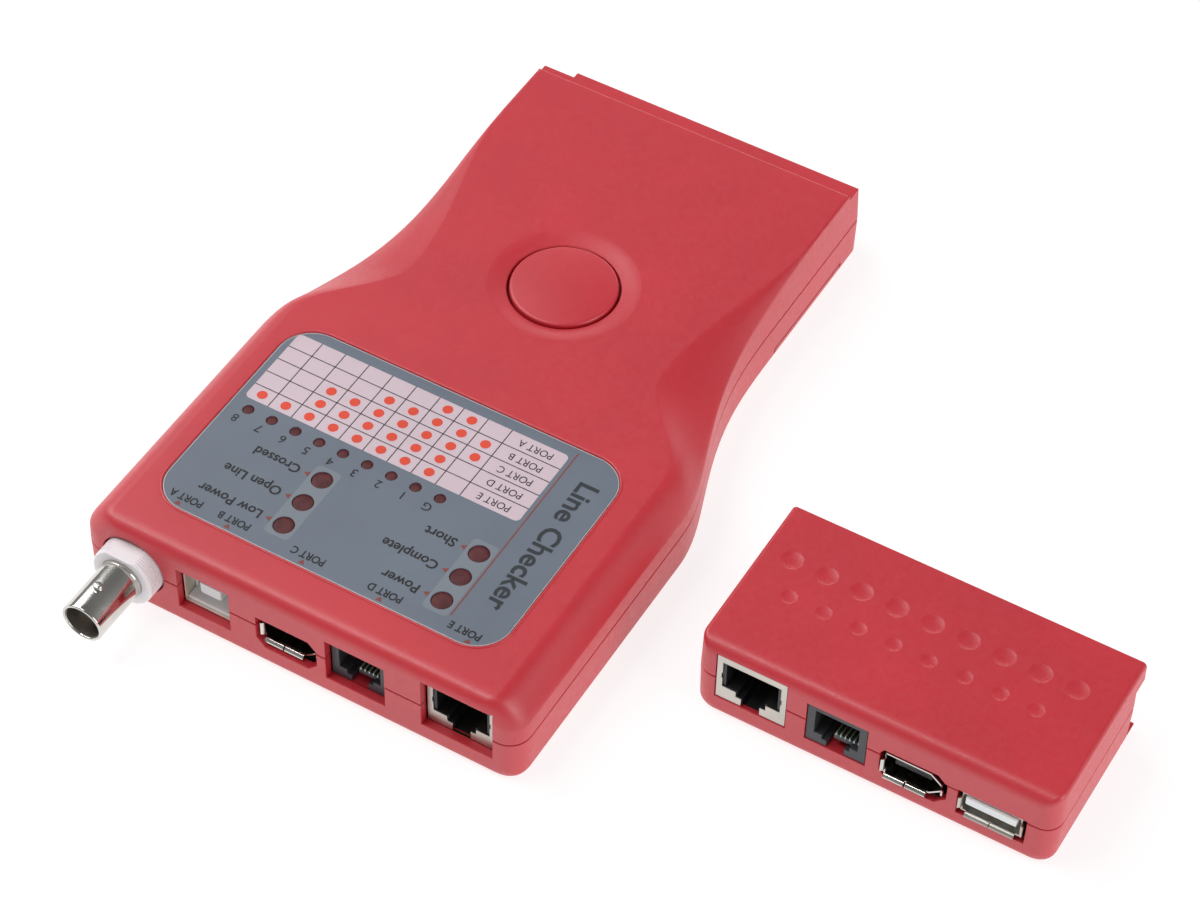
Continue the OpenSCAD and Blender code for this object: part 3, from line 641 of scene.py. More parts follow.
def lower_boss(x, y, wall):
    return lathe("tool", [(BOSS_R, wall - 0.01), (BOSS_R, PART_Z - SEAM)], (x, y, 0), steps=32)


def screw_tools(x, y):
    """The counterbore and the clearance hole of a screw."""
    return [hole_tool(circle(COUNTERBORE_R, 32), WALL + 2, from_below(x, y, 0), rim=0.3),
            lathe("tool", [(CLEARANCE_R, 1), (CLEARANCE_R, PART_Z + 1)], (x, y, 0), steps=24)]


def across(profile, x0, x1):
    """A prism along X from a profile in Y and Z."""
    return loft("tool", [[(x, y, z) for y, z in profile] for x in (x0, x1)])


def arc(cy, cz, r, start, end, steps=4):
    return [(cy + r * math.cos(math.radians(start + (end - start) * k / steps)),
             cz + r * math.sin(math.radians(start + (end - start) * k / steps))) for k in range(steps + 1)]


TONGUE_Z = (2.1, 16.4)
TONGUE_L = 4.2
TONGUE_HALF_W = 36
BOSS_R = 3
PILOT_R = 1.2
CLEARANCE_R = 1.25
COUNTERBORE_R = 2.6
SCREWS = [(-47.2, -50), (47.2, -50), (-37, 17), (37, 17), (-34, 80.2), (34, 80.2)]


def tongue(low, high, round_top):
    """The part of the docking tongue between two heights, its outer edges rounded."""
    out = END_Y + TONGUE_L
    e = 0.4
    if round_top:
        mid = END_Y + TONGUE_L / 2
        profile = [(END_Y - 1, low), (out, low), (out, high - 1.2), (out - 0.2, high - 0.9),
                   (mid + 0.3, high - 0.12), (mid - 0.2, high), (END_Y - 1, high)]
    else:
        profile = [(END_Y - 1, low), (out - e, low), (out - 0.3 * e, low + 0.3 * e), (out, low + e),
                   (out, high), (END_Y - 1, high)]
    ends = [(-TONGUE_HALF_W, e), (-TONGUE_HALF_W + 0.3 * e, 0.3 * e), (-TONGUE_HALF_W + e, 0)]
    ends += [(-x, pull) for x, pull in reversed(ends)]
    return loft("tongue", [[(x, y - pull if y > END_Y else y, z) for y, z in profile] for x, pull in ends])


def skin_z(x, y):
    s = clip((x - flat_w(y)) / (half_w(y) - flat_w(y)))
    return TOP_Z - (TOP_Z - edge_z(y)) * slope(s, crease(y))


def boss_top(x, y):
    return min(skin_z(abs(x) + 3, y) - 0.5, TOP_Z - LEDGE_DROP - 0.5)


LED_PITCH = 5.94
PIN_LED = (LABEL_MID.x - 36.8, -43.6)
STATUS_X = (LABEL_MID.x - 12.75, LABEL_MID.x + 25.35)
STATUS_Y = (-66.2, -59.1, -52)
PIN_LIGHTS = [(PIN_LED[0] + k * LED_PITCH, PIN_LED[1]) for k in range(9)]
STATUS_LIGHTS = [(x, y) for x in STATUS_X for y in STATUS_Y]
PIN_R = 1.2
STATUS_R = 2.2
LENS_GAP = 0.12


def window_tools(depth):
    return [hole_tool(circle(r + LENS_GAP, 32), depth, into_top(x, y, LABEL_TOP - 0.3), rim=0.05, above=3)
            for spots, r in ((PIN_LIGHTS, PIN_R), (STATUS_LIGHTS, STATUS_R)) for x, y in spots]


def dish_tool():
    """The shallow dish round the button: it falls smoothly from the flat top to the well."""
    inner = WELL_R - 1
    profile = [(inner + (DISH_R - inner) * k / 10, -DISH_FALL + (DISH_FALL + 0.012) * smooth(k / 10))
               for k in range(11)]
    return lathe("tool", profile + [(DISH_R, 2)], (0, BUTTON_Y, TOP_Z), steps=96)


def make_top_shell():
    piece = upper_skin(0, END_Y)
    boolean(piece, upper_skin(WALL, END_Y - LEDGE_L - 1.2))
    boolean(piece, tongue(PART_Z, TONGUE_Z[1], True), "UNION")
    for x, y in SCREWS:
        top = boss_top(x, y)
        boolean(piece, upper_boss(x, y, top), "UNION")
    # Ledge along the far edge, with round edges, and the notch at its left end
    back = END_Y - LEDGE_L
    floor = TOP_Z - LEDGE_DROP
    r = END_R
    profile = [(back - r, TOP_Z + 2), (back - r, TOP_Z)] + arc(back - r, TOP_Z - r, r, 90, 0)[1:]
    profile += [(back, floor)] + arc(END_Y - r, floor - r, r, 90, 0)
    profile += [(END_Y + 3, floor - r), (END_Y + 3, TOP_Z + 2)]
    boolean(piece, across(profile, -60, 60))
    boolean(piece, block("tool", (NOTCH_X - 20, END_Y - NOTCH_L, TONGUE_Z[1]),
                         (NOTCH_X, END_Y + 9, TOP_Z + 2)))
    # Label recess, windows, button well and dish
    recess = rounded(LABEL_W + 0.3, LABEL_L + 0.3, LABEL_R + 0.15)
    boolean(piece, hole_tool(recess, 0.4, into_top(LABEL_MID.x, LABEL_MID.y, TOP_Z), rim=0.05))
    cut_all(piece, window_tools(4))
    boolean(piece, dish_tool())
    well = hole_tool(circle(WELL_R, 96), 5, into_top(0, BUTTON_Y, TOP_Z - DISH_FALL), rim=0.2, above=3)
    boolean(piece, well)
    cut_all(piece, front_tools())
    finish_shell(piece, "top_shell", "main_unit")


COVER_Y = (45.5, 77)
COVER_SIDE_Z = 3.8
COVER_GAP = 0.42


def cover_tool(gap):
    return block("tool", (-60, COVER_Y[0] + gap, -1), (60, COVER_Y[1] - gap, COVER_SIDE_Z - gap))


def make_bottom_shell():
    piece = lower_skin(0, END_Y)
    boolean(piece, lower_skin(WALL, END_Y - WALL))
    boolean(piece, tongue(TONGUE_Z[0], PART_Z - SEAM, False), "UNION")
    for x, y in SCREWS:
        boolean(piece, lower_boss(x, y, WALL), "UNION")
    for x in (-26, 26):
        for y in (-58, -10, 34):
            boolean(piece, lathe("tool", [(2, WALL - 0.01), (2, 4.4)], (x, y, 0), steps=24), "UNION")
    for x, y in SCREWS:
        cut_all(piece, screw_tools(x, y))
    boolean(piece, cover_tool(0))
    cut_all(piece, front_tools())
    finish_shell(piece, "bottom_shell", "main_unit")


def make_battery_cover():
    piece = lower_skin(0, END_Y)
    boolean(piece, cover_tool(COVER_GAP), "INTERSECT")
    boolean(piece, lower_skin(WALL, END_Y - WALL))
    # Thumb grip: five round grooves
    for k in range(5):
        y = 51 + k * 2.4
        profile = [(y - 0.62, -1), (y - 0.62, 0)] + arc(y, 0, 0.5, 180, 0, 6)
        profile += [(y + 0.62, 0), (y + 0.62, -1)]
        boolean(piece, across(profile, -8, 8))
    finish_shell(piece, "battery_cover", "cover")


make_top_shell()
make_bottom_shell()
make_battery_cover()


# ---------------------------------------------------------------- form of the remote
REMOTE_END_R = 0.35
REMOTE_SCREW_Y = -16.2
DIMPLES = [(-33.3 + 8.02 * k, 27.7, 2.6, 0.42) for k in range(9)]
DIMPLES += [(-29.3 + 7.9 * k, 18.9, 1.9, 0.30) for k in range(8)]


def remote_half(y, t):
    w = REMOTE_W / 2 - t - corner_in(y - REMOTE_Y - t, REMOTE_FRONT_R - t / 2)
    return w - (corner_in(REMOTE_BACK_Y - y, REMOTE_END_R) if t == 0 else 0)


def remote_upper(y, t):
    w, r = remote_half(y, t), REMOTE_EDGE_R
    top = REMOTE_H - t - corner_in(y - REMOTE_Y - t, FRONT_TOP_R)
    top -= corner_in(REMOTE_BACK_Y - y, REMOTE_END_R) if t == 0 else 0
    seam = 0 if t else SEAM
    low = PART_Z + (seam_in(y, REMOTE_Y, REMOTE_BACK_Y) if seam else -0.01)
    half = [(w - seam, low), (w - 0.3 * seam, low + 0.3 * seam), (w, low + seam)]
    for k in range(9):
        a = math.radians(90 * k / 8)
        half.append((w - 0.25 - r + r * math.cos(a), top - r + r * math.sin(a)))
    return [(x, y, z) for x, z in half]


def remote_lower(y, t):
    return belly(y, t, remote_half(y, t), REMOTE_Y, REMOTE_BACK_Y, REMOTE_END_R)


def remote_skin(section, t, end):
    ys = [REMOTE_Y + t + d for d in FRONT_STEPS]
    ys += [REMOTE_Y + t + 5 + 5 * k for k in range(1, 20) if REMOTE_Y + t + 5 + 5 * k < end - 2]
    if t == 0:
        ys += [end - REMOTE_END_R, end - 0.25 * REMOTE_END_R, end - 0.06 * REMOTE_END_R]
    ys.append(end)
    rings = [[(REMOTE_X + x, y, z) for x, y, z in both_sides(section(s, t))] for s in ys]
    return loft("skin", rings)


REMOTE_RJ45_X = middle("remote_rj45_shield").x
REMOTE_RJ11_X = middle("remote_rj11_housing").x
REMOTE_FIREWIRE_X = middle("remote_firewire_insert").x
REMOTE_USB_X = middle("remote_usb_insert").x


def remote_tools():
    fire = [(-7.4, 1.2), (-5.6, -1.1), (5, -1.1), (7.5, 1.4), (7.5, 5.6), (5.2, 7.8), (-6.6, 7.8),
            (-7.4, 6.6)]
    g = 0.15
    outlines = [rectangle(x - half - g, x + half + g, SEAT_Z - g, SEAT_Z + h + g)
                for x, half, h in ((REMOTE_RJ45_X, 7.95, 13.1), (REMOTE_RJ11_X, 6.7, 11))]
    outlines += [[(REMOTE_FIREWIRE_X + x, SEAT_Z + z) for x, z in fire],
                 rectangle(REMOTE_USB_X - 7.45, REMOTE_USB_X + 7.45, SEAT_Z - 1, SEAT_Z + 6.3)]
    tools = [hole_tool(o, REMOTE_WALL + 2.5, into_front(0, 0, REMOTE_Y), rim=0.15) for o in outlines]
    # Docking channel across the back, its lips rounded at their edges
    low, high = CHANNEL_Z
    e = 0.3
    profile = [(REMOTE_BACK_Y - DOCK_LIP, low), (REMOTE_BACK_Y - e, low)]
    profile += arc(REMOTE_BACK_Y - e, low - e, e, 90, 0)[1:]
    profile += [(REMOTE_BACK_Y + 2, low - e), (REMOTE_BACK_Y + 2, high + e)]
    profile += arc(REMOTE_BACK_Y - e, high + e, e, 0, -90)
    profile += [(REMOTE_BACK_Y - DOCK_LIP, high)]
    tools.append(across(profile, REMOTE_X - 50, REMOTE_X + 50))
    return tools


def dimple_tools():
    tools = []
    for x, y, r, depth in DIMPLES:
        profile = [(r * k / 9, -depth * (1 - (k / 9) ** 2.4) + 0.004) for k in range(1, 10)]
        tools.append(lathe("tool", profile + [(r, 1)], (REMOTE_X + x, REMOTE_Y + y, REMOTE_H), steps=40))
    return tools


def make_remote():
    inner_end = REMOTE_BACK_Y - DOCK_LIP - REMOTE_WALL
    upper = remote_skin(remote_upper, 0, REMOTE_BACK_Y)
    boolean(upper, remote_skin(remote_upper, REMOTE_WALL, inner_end))
    for x in (-34, 34):
        boolean(upper, upper_boss(REMOTE_X + x, REMOTE_SCREW_Y, REMOTE_H - 1), "UNION")
    cut_all(upper, remote_tools())
    cut_all(upper, dimple_tools())
    finish_shell(upper, "remote_top_shell", "remote")

    lower = remote_skin(remote_lower, 0, REMOTE_BACK_Y)
    boolean(lower, remote_skin(remote_lower, REMOTE_WALL, inner_end))
    for x in (-34, 34):
        boolean(lower, lower_boss(REMOTE_X + x, REMOTE_SCREW_Y, REMOTE_WALL), "UNION")
        cut_all(lower, screw_tools(REMOTE_X + x, REMOTE_SCREW_Y))
    cut_all(lower, remote_tools())
    finish_shell(lower, "remote_bottom_shell", "remote")


make_remote()


# ---------------------------------------------------------------- power button and its return spring
CAP_UNDER_Z = 19.4
SWITCH_TOP_Z = 13.43


def make_button():
    low, high = box_mm("power_button")
    radius, edge_r, rim_z = 12, 0.7, 22.55
    crown = high.z - rim_z
    profile = [(2.4, low.z), (2.4, CAP_UNDER_Z), (10.6, CAP_UNDER_Z), (10.6, 18.6), (13.6, 18.6),
               (13.6, 19.5), (radius, 19.5)]
    profile += arc(radius - edge_r, rim_z - edge_r, edge_r, 0, 75, 5)
    profile += [((radius - edge_r) * k / 12, rim_z + crown * (1 - (k / 12) ** 2)) for k in range(12, 0, -1)]
    piece = lathe("power_button_cap", profile, (0, BUTTON_Y, 0), steps=96)
    finish_piece(piece, "button", red_abs, ["power_button"])


def make_spring():
    """Round wire wound in five turns, at its length with the cap up."""
    turns, per_turn, mean_r, wire_r = 5, 28, 4, 0.35
    z0, z1 = SWITCH_TOP_Z + wire_r, CAP_UNDER_Z - wire_r - 0.03
    rings = []
    for k in range(turns * per_turn + 1):
        a = 2 * math.pi * k / per_turn
        z = z0 + (z1 - z0) * k / (turns * per_turn)
        rings.append([((mean_r + wire_r * math.cos(b)) * math.cos(a),
                       BUTTON_Y + (mean_r + wire_r * math.cos(b)) * math.sin(a), z + wire_r * math.sin(b))
                      for b in (2 * math.pi * i / 14 for i in range(14))])
    spring = finish_piece(loft("return_spring", rings), "main_unit", spring_steel,
                          ["button_spring"], sharp=50, weighted=False)
    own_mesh(spring)


make_button()
make_spring()


# ---------------------------------------------------------------- raised bead round the label
def round_label(name, profile, mat):
    """Sweeps a small closed profile of (growth, height) along the label's outline."""
    rings = []
    for growth, height in profile:
        outline = rounded(LABEL_W + 2 * growth, LABEL_L + 2 * growth, LABEL_R + growth, 12)
        rings.append([(x + LABEL_MID.x, y + LABEL_MID.y, height) for x, y in outline])
    finish_piece(loft(name, rings, caps=False), "main_unit", mat)


def make_bead():
    base = TOP_Z - 0.12
    centre, half_width, height = 0.45, 0.32, 0.34
    profile = [(centre + half_width, base)]
    profile += [(centre + half_width * math.cos(math.radians(a)), base + height * math.sin(math.radians(a)))
                for a in range(30, 180, 30)]
    profile += [(centre - half_width, base)]
    round_label("label_bead", profile, red_abs)


def make_painted_edge_highlight():
    """A pale ring just proud of the film's face along its edge: a painted highlight, the bright line that
    light makes on the label's edge.
    """
    low, high = LABEL_TOP - 0.05, LABEL_TOP + 0.035
    profile = [(0.0, low), (0.0, high - 0.02), (-0.04, high), (-0.17, high), (-0.2, high - 0.03), (-0.2, low)]
    round_label("label_edge", profile, painted_highlight_grey)


make_bead()
make_painted_edge_highlight()


# ---------------------------------------------------------------- print on the label
PRINT_T = 0.012
PRINT_GAP = 0.004
LAYER_STEP = 0.014
STRIP_HOLE_R = 2.36


def print_layer(level):
    """Bottom and top of a printed layer above the film."""
    low = LABEL_TOP + PRINT_GAP + level * LAYER_STEP
    return low, low + PRINT_T


def printed(name, outlines, level, mat, holes=()):
    low, high = print_layer(level)
    parts = [loft("print", [[(x, y, z) for x, y in outline] for z in (low, high)]) for outline in outlines]
    piece = combine(name, parts)
    bore = [(STRIP_HOLE_R, low - 1), (STRIP_HOLE_R, high + 1)]
    for x, y in holes:
        boolean(piece, lathe("tool", bore, (x, y, 0), steps=40))
    piece.data.transform(Matrix.Scale(MM, 4))
    wear(piece, "main_unit", mat)


def disc(x, y, r, steps=28):
    return [(x + px, y + py) for px, py in circle(r, steps)]


COL_X = [LABEL_MID.x - 39.75 + LED_PITCH * k for k in range(10)]
TABLE_X = (COL_X[0], LABEL_MID.x + 27.75)
ROW_PITCH = 4.2
TABLE_Y = [-40.75 + ROW_PITCH * k for k in range(6)]
DOTS = [range(0, 8), range(2, 8), range(2, 9), range(4, 9), range(6, 8)]


def make_label_print():
    x0, x1 = TABLE_X
    y0, y1 = TABLE_Y[0], TABLE_Y[-1]
    corner = [(x + (x0 + x1) / 2, y + (y0 + y1) / 2) for x, y in rounded(x1 - x0, y1 - y0, 1.2, 5)]
    printed("table_ground", [corner], 0, label_pink)
    line = 0.11
    columns = [rectangle(x - line, x + line, y0, y1) for x in COL_X[1:]]
    rows = [rectangle(x0, x1, y - line, y + line) for y in TABLE_Y[1:-1]]
    # Crossing lines stand at slightly different heights, so that no two faces lie in one plane
    printed("table_columns", columns, 1, ink_black)
    printed("table_rows", rows, 1.3, ink_black)
    dots = [disc(COL_X[k] + LED_PITCH / 2 + 0.2, (TABLE_Y[r] + TABLE_Y[r + 1]) / 2, 1.16)
            for r, row in enumerate(DOTS) for k in row]
    printed("table_dots", dots, 1.7, ink_red)
    printed("divider_line", [rectangle(LABEL_MID.x + 28.7, LABEL_MID.x + 29, -68.5, -18.2)], 0, ink_brown)
    # Lighter strips under the two groups of status lights
    strips = []
    for x in STATUS_X:
        y = STATUS_Y[1]
        strips.append([(px + x, py + y) for px, py in rounded(6.0, 20.8, 1.1, 6)])
    printed("status_strips", strips, 0, strip_grey, STATUS_LIGHTS)
    marks = [[(x - 3.2, y - 0.7), (x - 3.2, y + 0.7), (x - 4.4, y)] for x, y in STATUS_LIGHTS]
    for x in (BNC_X + 4.1, USB_B_X - 1.1, FIREWIRE_X - 3.1, RJ11_X - 1.1, RJ45_X - 4.3):
        marks.append([(x - 0.75, -72.9), (x + 0.75, -72.9), (x, -71.7)])
    printed("pointer_marks", marks, 1, ink_brown)


# Height of a capital in Blender's own font, as a part of the font size
CAP_HEIGHT = 0.72
LETTER_LEVEL = 2


def lettering(name, text, size, at, turn=180, mat=None, align="CENTER", weight=0.0, squeeze=1.0):
    """Flat letters of a given capital height, placed at a point and turned about Z, as a thin mesh."""
    curve = bpy.data.curves.new(name, "FONT")
    curve.body = text
    curve.size = size / CAP_HEIGHT
    curve.align_x = align
    curve.align_y = "CENTER"
    curve.offset = weight
    curve.extrude = PRINT_T / 2
    curve.resolution_u = 3
    temp = add_object("letters", curve)
    graph = bpy.context.evaluated_depsgraph_get()
    mesh = bpy.data.meshes.new_from_object(temp.evaluated_get(graph))
    bpy.data.objects.remove(temp)
    mesh.transform(Matrix.Translation((*at, sum(print_layer(LETTER_LEVEL)) / 2))
                   @ Matrix.Rotation(math.radians(turn), 4, "Z") @ Matrix.Diagonal((squeeze, 1, 1, 1)))
    mesh.transform(Matrix.Scale(MM, 4))
    wear(add_object(name, mesh), "main_unit", mat or ink_black)


def make_lettering():
    for (x, y), text in zip(PIN_LIGHTS, "87654321G"):
        lettering(f"pin_number_{text}", text, 2.2, (x - 1.1, y - 3.2))
    for row, text in enumerate("EDCBA"):
        y = (TABLE_Y[row] + TABLE_Y[row + 1]) / 2
        lettering(f"row_name_{text}", "PORT " + text, 1.9, ((COL_X[-1] + TABLE_X[1]) / 2, y), squeeze=0.9)
    ports = zip("ABCDE", (BNC_X + 4.9, USB_B_X - 0.7, FIREWIRE_X - 2.9, RJ11_X - 1.0, RJ45_X - 6.2))
    for text, x in ports:
        lettering(f"port_name_{text}", "PORT " + text, 1.9, (x, -70.4), weight=0.055, squeeze=0.86)
    words = (("Low Power", "Open Line", "Crossed"), ("Power", "Complete", "Short"))
    for x, column in zip(STATUS_X, words):
        for y, text in zip(STATUS_Y, column):
            name = "caption_" + text.lower().replace(" ", "_")
            lettering(name, text, 2.4, (x - 5.4, y), align="LEFT", weight=0.06, squeeze=0.99)
    lettering("title_strip", "Line Checker", 4.7, (LABEL_MID.x + 35.2, -43.4), turn=-90, mat=ink_grey,
              weight=0.12, squeeze=1.08)


make_label_print()
make_lettering()


# ---------------------------------------------------------------- indicator lights
def make_lights():
    """Nearly flat lenses, each with a wider foot on the display board."""
    foot = box_mm("pin_leds")[0].z
    for name, spots, r in (("pin", PIN_LIGHTS, PIN_R), ("status", STATUS_LIGHTS, STATUS_R)):
        lenses = combine(name + "_lenses", [light(x, y, r, foot) for x, y in spots])
        finish_piece(lenses, "main_unit", led_lens, [name + "_leds"])


def light(x, y, r, foot):
    top = TOP_Z - 0.14
    profile = [(r + 0.35, foot), (r + 0.35, foot + 0.8), (r, foot + 0.8), (r, top - 0.28),
               (r - 0.08, top - 0.21)]
    profile += [(r * s, top - 0.14 - 0.05 * s * s) for s in (0.85, 0.6, 0.3, 0.05)]
    return lathe("light", profile, (x, y, 0), steps=32)


make_lights()


# ---------------------------------------------------------------- coaxial socket
def make_bnc():
    y0, out_r = FRONT_Y - 4.2, 7.2
    # Nylon collar: fine rings round its rim, and a dished face round the barrel
    face = [(4.9, 0.3), (5.6, 0.05), (6.5, 0.0), (6.95, 0.12), (7.12, 0.4)]
    ribs = []
    for k in range(9):
        y = 0.6 + k * 0.62
        ribs += [(out_r, y), (out_r, y + 0.32), (out_r - 0.3, y + 0.42), (out_r - 0.3, y + 0.54)]
    profile = face + ribs + [(out_r - 0.1, 6.6), (4.9, 6.6)]
    ring = tube("bnc_collar_ring", profile, (BNC_X, y0, PART_Z), axis="Y", steps=96)
    flat_z = PART_Z + 6.2
    boolean(ring, block("tool", (BNC_X - 9, y0 - 1, flat_z), (BNC_X + 9, FRONT_Y + 9, flat_z + 4)))
    finish_piece(ring, "main_unit", white_plastic, ["bnc_collar"])
    housing = block("bnc_housing", (BNC_X - 7, FRONT_Y + WALL + 0.4, SEAT_Z + 0.05),
                    (BNC_X + 7, FRONT_Y + 14, PART_Z + 6))
    boolean(housing, lathe("tool", [(4.9, -5), (4.9, 30)], (BNC_X, FRONT_Y, PART_Z), axis="Y"))
    finish_piece(housing, "main_unit", white_plastic)

    # Plated barrel with a rolled mouth and a shallow groove, and two bayonet studs
    start = FRONT_Y - 18
    profile = [(4.15, 0.5), (4.2, 0.12), (4.35, 0.0), (4.6, 0.0), (4.78, 0.1), (4.85, 0.35), (4.85, 12.9),
               (4.72, 13.1), (4.72, 13.5), (4.85, 13.7), (4.85, 29.9), (4.15, 29.9)]
    barrel = tube("bnc_barrel_tube", profile, (BNC_X, start, PART_Z), axis="Y", steps=96)
    finish_piece(barrel, "main_unit", nickel, ["bnc_barrel"], sharp=50)
    lining = tube("bnc_bore_lining", [(4.06, 0.4), (4.14, 0.3), (4.14, 19.6), (4.06, 19.6)],
                  (BNC_X, start, PART_Z), axis="Y", steps=64)
    finish_piece(lining, "main_unit", bore_metal)
    studs = []
    for side in (1, -1):
        dome = [(1.0, 4.4), (1.0, 5.45), (0.93, 5.62), (0.72, 5.73), (0.35, 5.75)]
        at = (BNC_X, FRONT_Y - 11.5, PART_Z)
        studs.append(lathe("stud", [(r, side * h) for r, h in dome], at, steps=32))
    finish_piece(combine("bnc_studs", studs), "main_unit", nickel, sharp=50)


make_bnc()


# ---------------------------------------------------------------- sockets: contacts and comb details
SHEET = 0.35
FIREWIRE_OUTLINE = [(-6.4, 0), (3.7, 0), (6.4, 2.3), (6.4, 4.1), (3.7, 6.4), (-6.4, 6.4)]
FIREWIRE_L = 15
USB_A_H = 5.8
USB_A_OUTLINE = rectangle(-6.55, 6.55, 0, USB_A_H)
USB_A_L = 14


def box_parts(name, boxes, body, mat):
    piece = combine(name, [block("part", low, high) for low, high in boxes])
    finish_piece(piece, body, mat, weighted=False)


def make_contact_strips():
    """Contact strips above and below the tongues of the FireWire sockets."""
    pitch, half_w, half_t = 2.0, 0.45, 0.08
    for prefix, body in (("", "main_unit"), ("remote_", "remote")):
        low, high = box_mm(prefix + "firewire_insert")
        mid_x, tongue_z = (low.x + high.x) / 2 - 0.6, (low.z + high.z) / 2
        boxes = [((x - half_w, low.y + 0.35, z - half_t), (x + half_w, low.y + 7, z + half_t))
                 for x in (mid_x - pitch, mid_x, mid_x + pitch) for z in (tongue_z - 0.93, tongue_z + 0.93)]
        box_parts(prefix + "firewire_strips", boxes, body, gold)


def make_rj11_comb(name, body, x, y):
    """The sloping row of six contact wires and the comb that they come out of."""
    z = SEAT_Z + 3.9
    pitch, count = 1.0, 6
    mid = x + 2.0
    half = pitch * (count - 1) / 2 + 0.45
    comb = block("comb", (mid - half, y + 1.2, z - 1.5), (mid + half, y + 2.0, z))
    ramp = [(y + 2.0, z - 1.5), (y + 2.0, z - 0.1), (y + 9, z - 1.3), (y + 9, z - 2.4)]
    shelf = across(ramp, mid - half, mid + half)
    finish_piece(combine(name + "_comb", [comb, shelf]), body, grey_plastic, weighted=False)
    profile = [(y + 1.12, z - 0.35), (y + 1.25, z + 0.16), (y + 1.6, z + 0.3), (y + 9, z - 0.8),
               (y + 9, z - 1.1), (y + 1.6, z - 0.05)]
    wires = []
    for k in range(count):
        wx = mid + (k - (count - 1) / 2) * pitch
        wires.append(across(profile, wx - 0.14, wx + 0.14))
    finish_piece(combine(name + "_wires", wires), body, contact_wire, weighted=False)


def make_socket_floors():
    """Red sills and dark floors in the latch slots, and dark floors under the sheet-metal sockets."""
    z = (SEAT_Z + 0.01, SEAT_Z + 0.09)
    for prefix, body in (("", "main_unit"), ("remote_", "remote")):
        boxes, sills = [], []
        for node_name, sill in ((prefix + "rj45_housing", 0.3), (prefix + "rj11_housing", 6.5)):
            low, high = box_mm(node_name)
            x = (low.x + high.x) / 2
            sills.append(((x - 1.97, low.y + 0.1, z[0]), (x + 1.97, low.y + sill, z[1])))
            boxes.append(((x - 1.97, low.y + sill, z[0]), (x + 1.97, low.y + 12.4, z[1])))
        box_parts(prefix + "socket_sills", sills, body, red_abs)
        low, high = box_mm(prefix + "firewire_insert")
        x = (low.x + high.x) / 2
        for x0, x1 in ((x - 7.4, x - 4.7), (x - 3.3, x + 3.3), (x + 4.7, x + 7.6)):
            boxes.append(((x0, low.y - 0.92, z[0]), (x1, low.y + 11, z[1])))
        if not prefix:
            boxes.append(((x - 7.4, low.y - 1.0, SEAT_Z - 1.5), (x + 7.6, low.y - 0.92, z[1])))
        else:
            low, high = box_mm("remote_usb_insert")
            boxes.append(((low.x - 1.2, low.y - 0.3, z[0]), (low.x + 0.2, low.y + 11, z[1])))
            boxes.append(((high.x - 0.2, low.y - 0.3, z[0]), (high.x + 1.2, low.y + 11, z[1])))
        box_parts(prefix + "socket_floors", boxes, body, black_plastic)


def make_usb_b_insert():
    """Floor, side walls and tongue of the USB-B socket, with its solid back."""
    low, high = box_mm("usb_b_insert")
    x, y = (low.x + high.x) / 2, low.y - 0.3
    half, z = 5.55, SEAT_Z
    floor = block("part", (x - half, y + 0.5, z + 0.45), (x + half, y + 11, z + 1.45))
    # Square below, bevelled above, as the shell is
    hood = [(-half, 0.45), (half, 0.45), (half, 8.6), (half - 1.7, 10.3), (-half + 1.7, 10.3), (-half, 8.6)]
    back = along_y(hood, x, z, y + 11, y + 15.5)
    sides = []
    for mid in (x - half + 0.25, x + half - 0.25):
        sides.append(block("part", (mid - 0.25, y + 3.2, z + 1.4), (mid + 0.25, y + 11, z + 8.5)))
    outline = [(-2.7, 6.9), (-2.7, 4.15), (-2.35, 3.8), (2.15, 3.8), (2.5, 4.15), (2.5, 6.9)]
    tongue_block = loft("part", [[(x + u * k, v, z + 5.4 + (w - 5.4) * k) for u, w in outline]
                                 for v, k in ((y + 0.9, 0.93), (y + 1.1, 1.0), (y + 11.2, 1.0))])
    piece = combine("usb_b_insert_body", [floor, back, tongue_block] + sides)
    finish_piece(piece, "main_unit", usb_white, ["usb_b_insert"], weighted=False)


def make_usb_a_insert():
    """White tongue near the roof of the USB-A socket, its four contact strips and its solid back."""
    low, high = box_mm("remote_usb_insert")
    shell_low, shell_high = box_mm("remote_usb_shell")
    x, y, z = (low.x + high.x) / 2, shell_low.y, shell_high.z - USB_A_H
    under, over = z + 3.35, z + 5.2
    outline = [(-5.55, under + 0.15), (-5.4, under), (5.4, under), (5.55, under + 0.15), (5.55, over),
               (-5.55, over)]
    tongue = loft("part", [[(x + u * k, v, w) for u, w in outline]
                           for v, k in ((y + 0.55, 0.985), (y + 0.7, 1.0), (y + 10.4, 1.0))])
    back = block("part", (x - 6.1, y + 10.3, z + 0.42), (x + 6.1, y + 13.2, z + 5.38))
    finish_piece(combine("usb_a_insert_body", [tongue, back]), "remote", usb_white,
                 ["remote_usb_insert"], weighted=False)
    boxes = [((x + at - 0.5, y + 2.6, under - 0.09), (x + at + 0.5, y + 9.8, under + 0.05))
             for at in (-3.5, -1.0, 1.0, 3.5)]
    box_parts("usb_a_strips", boxes, "remote", gold)


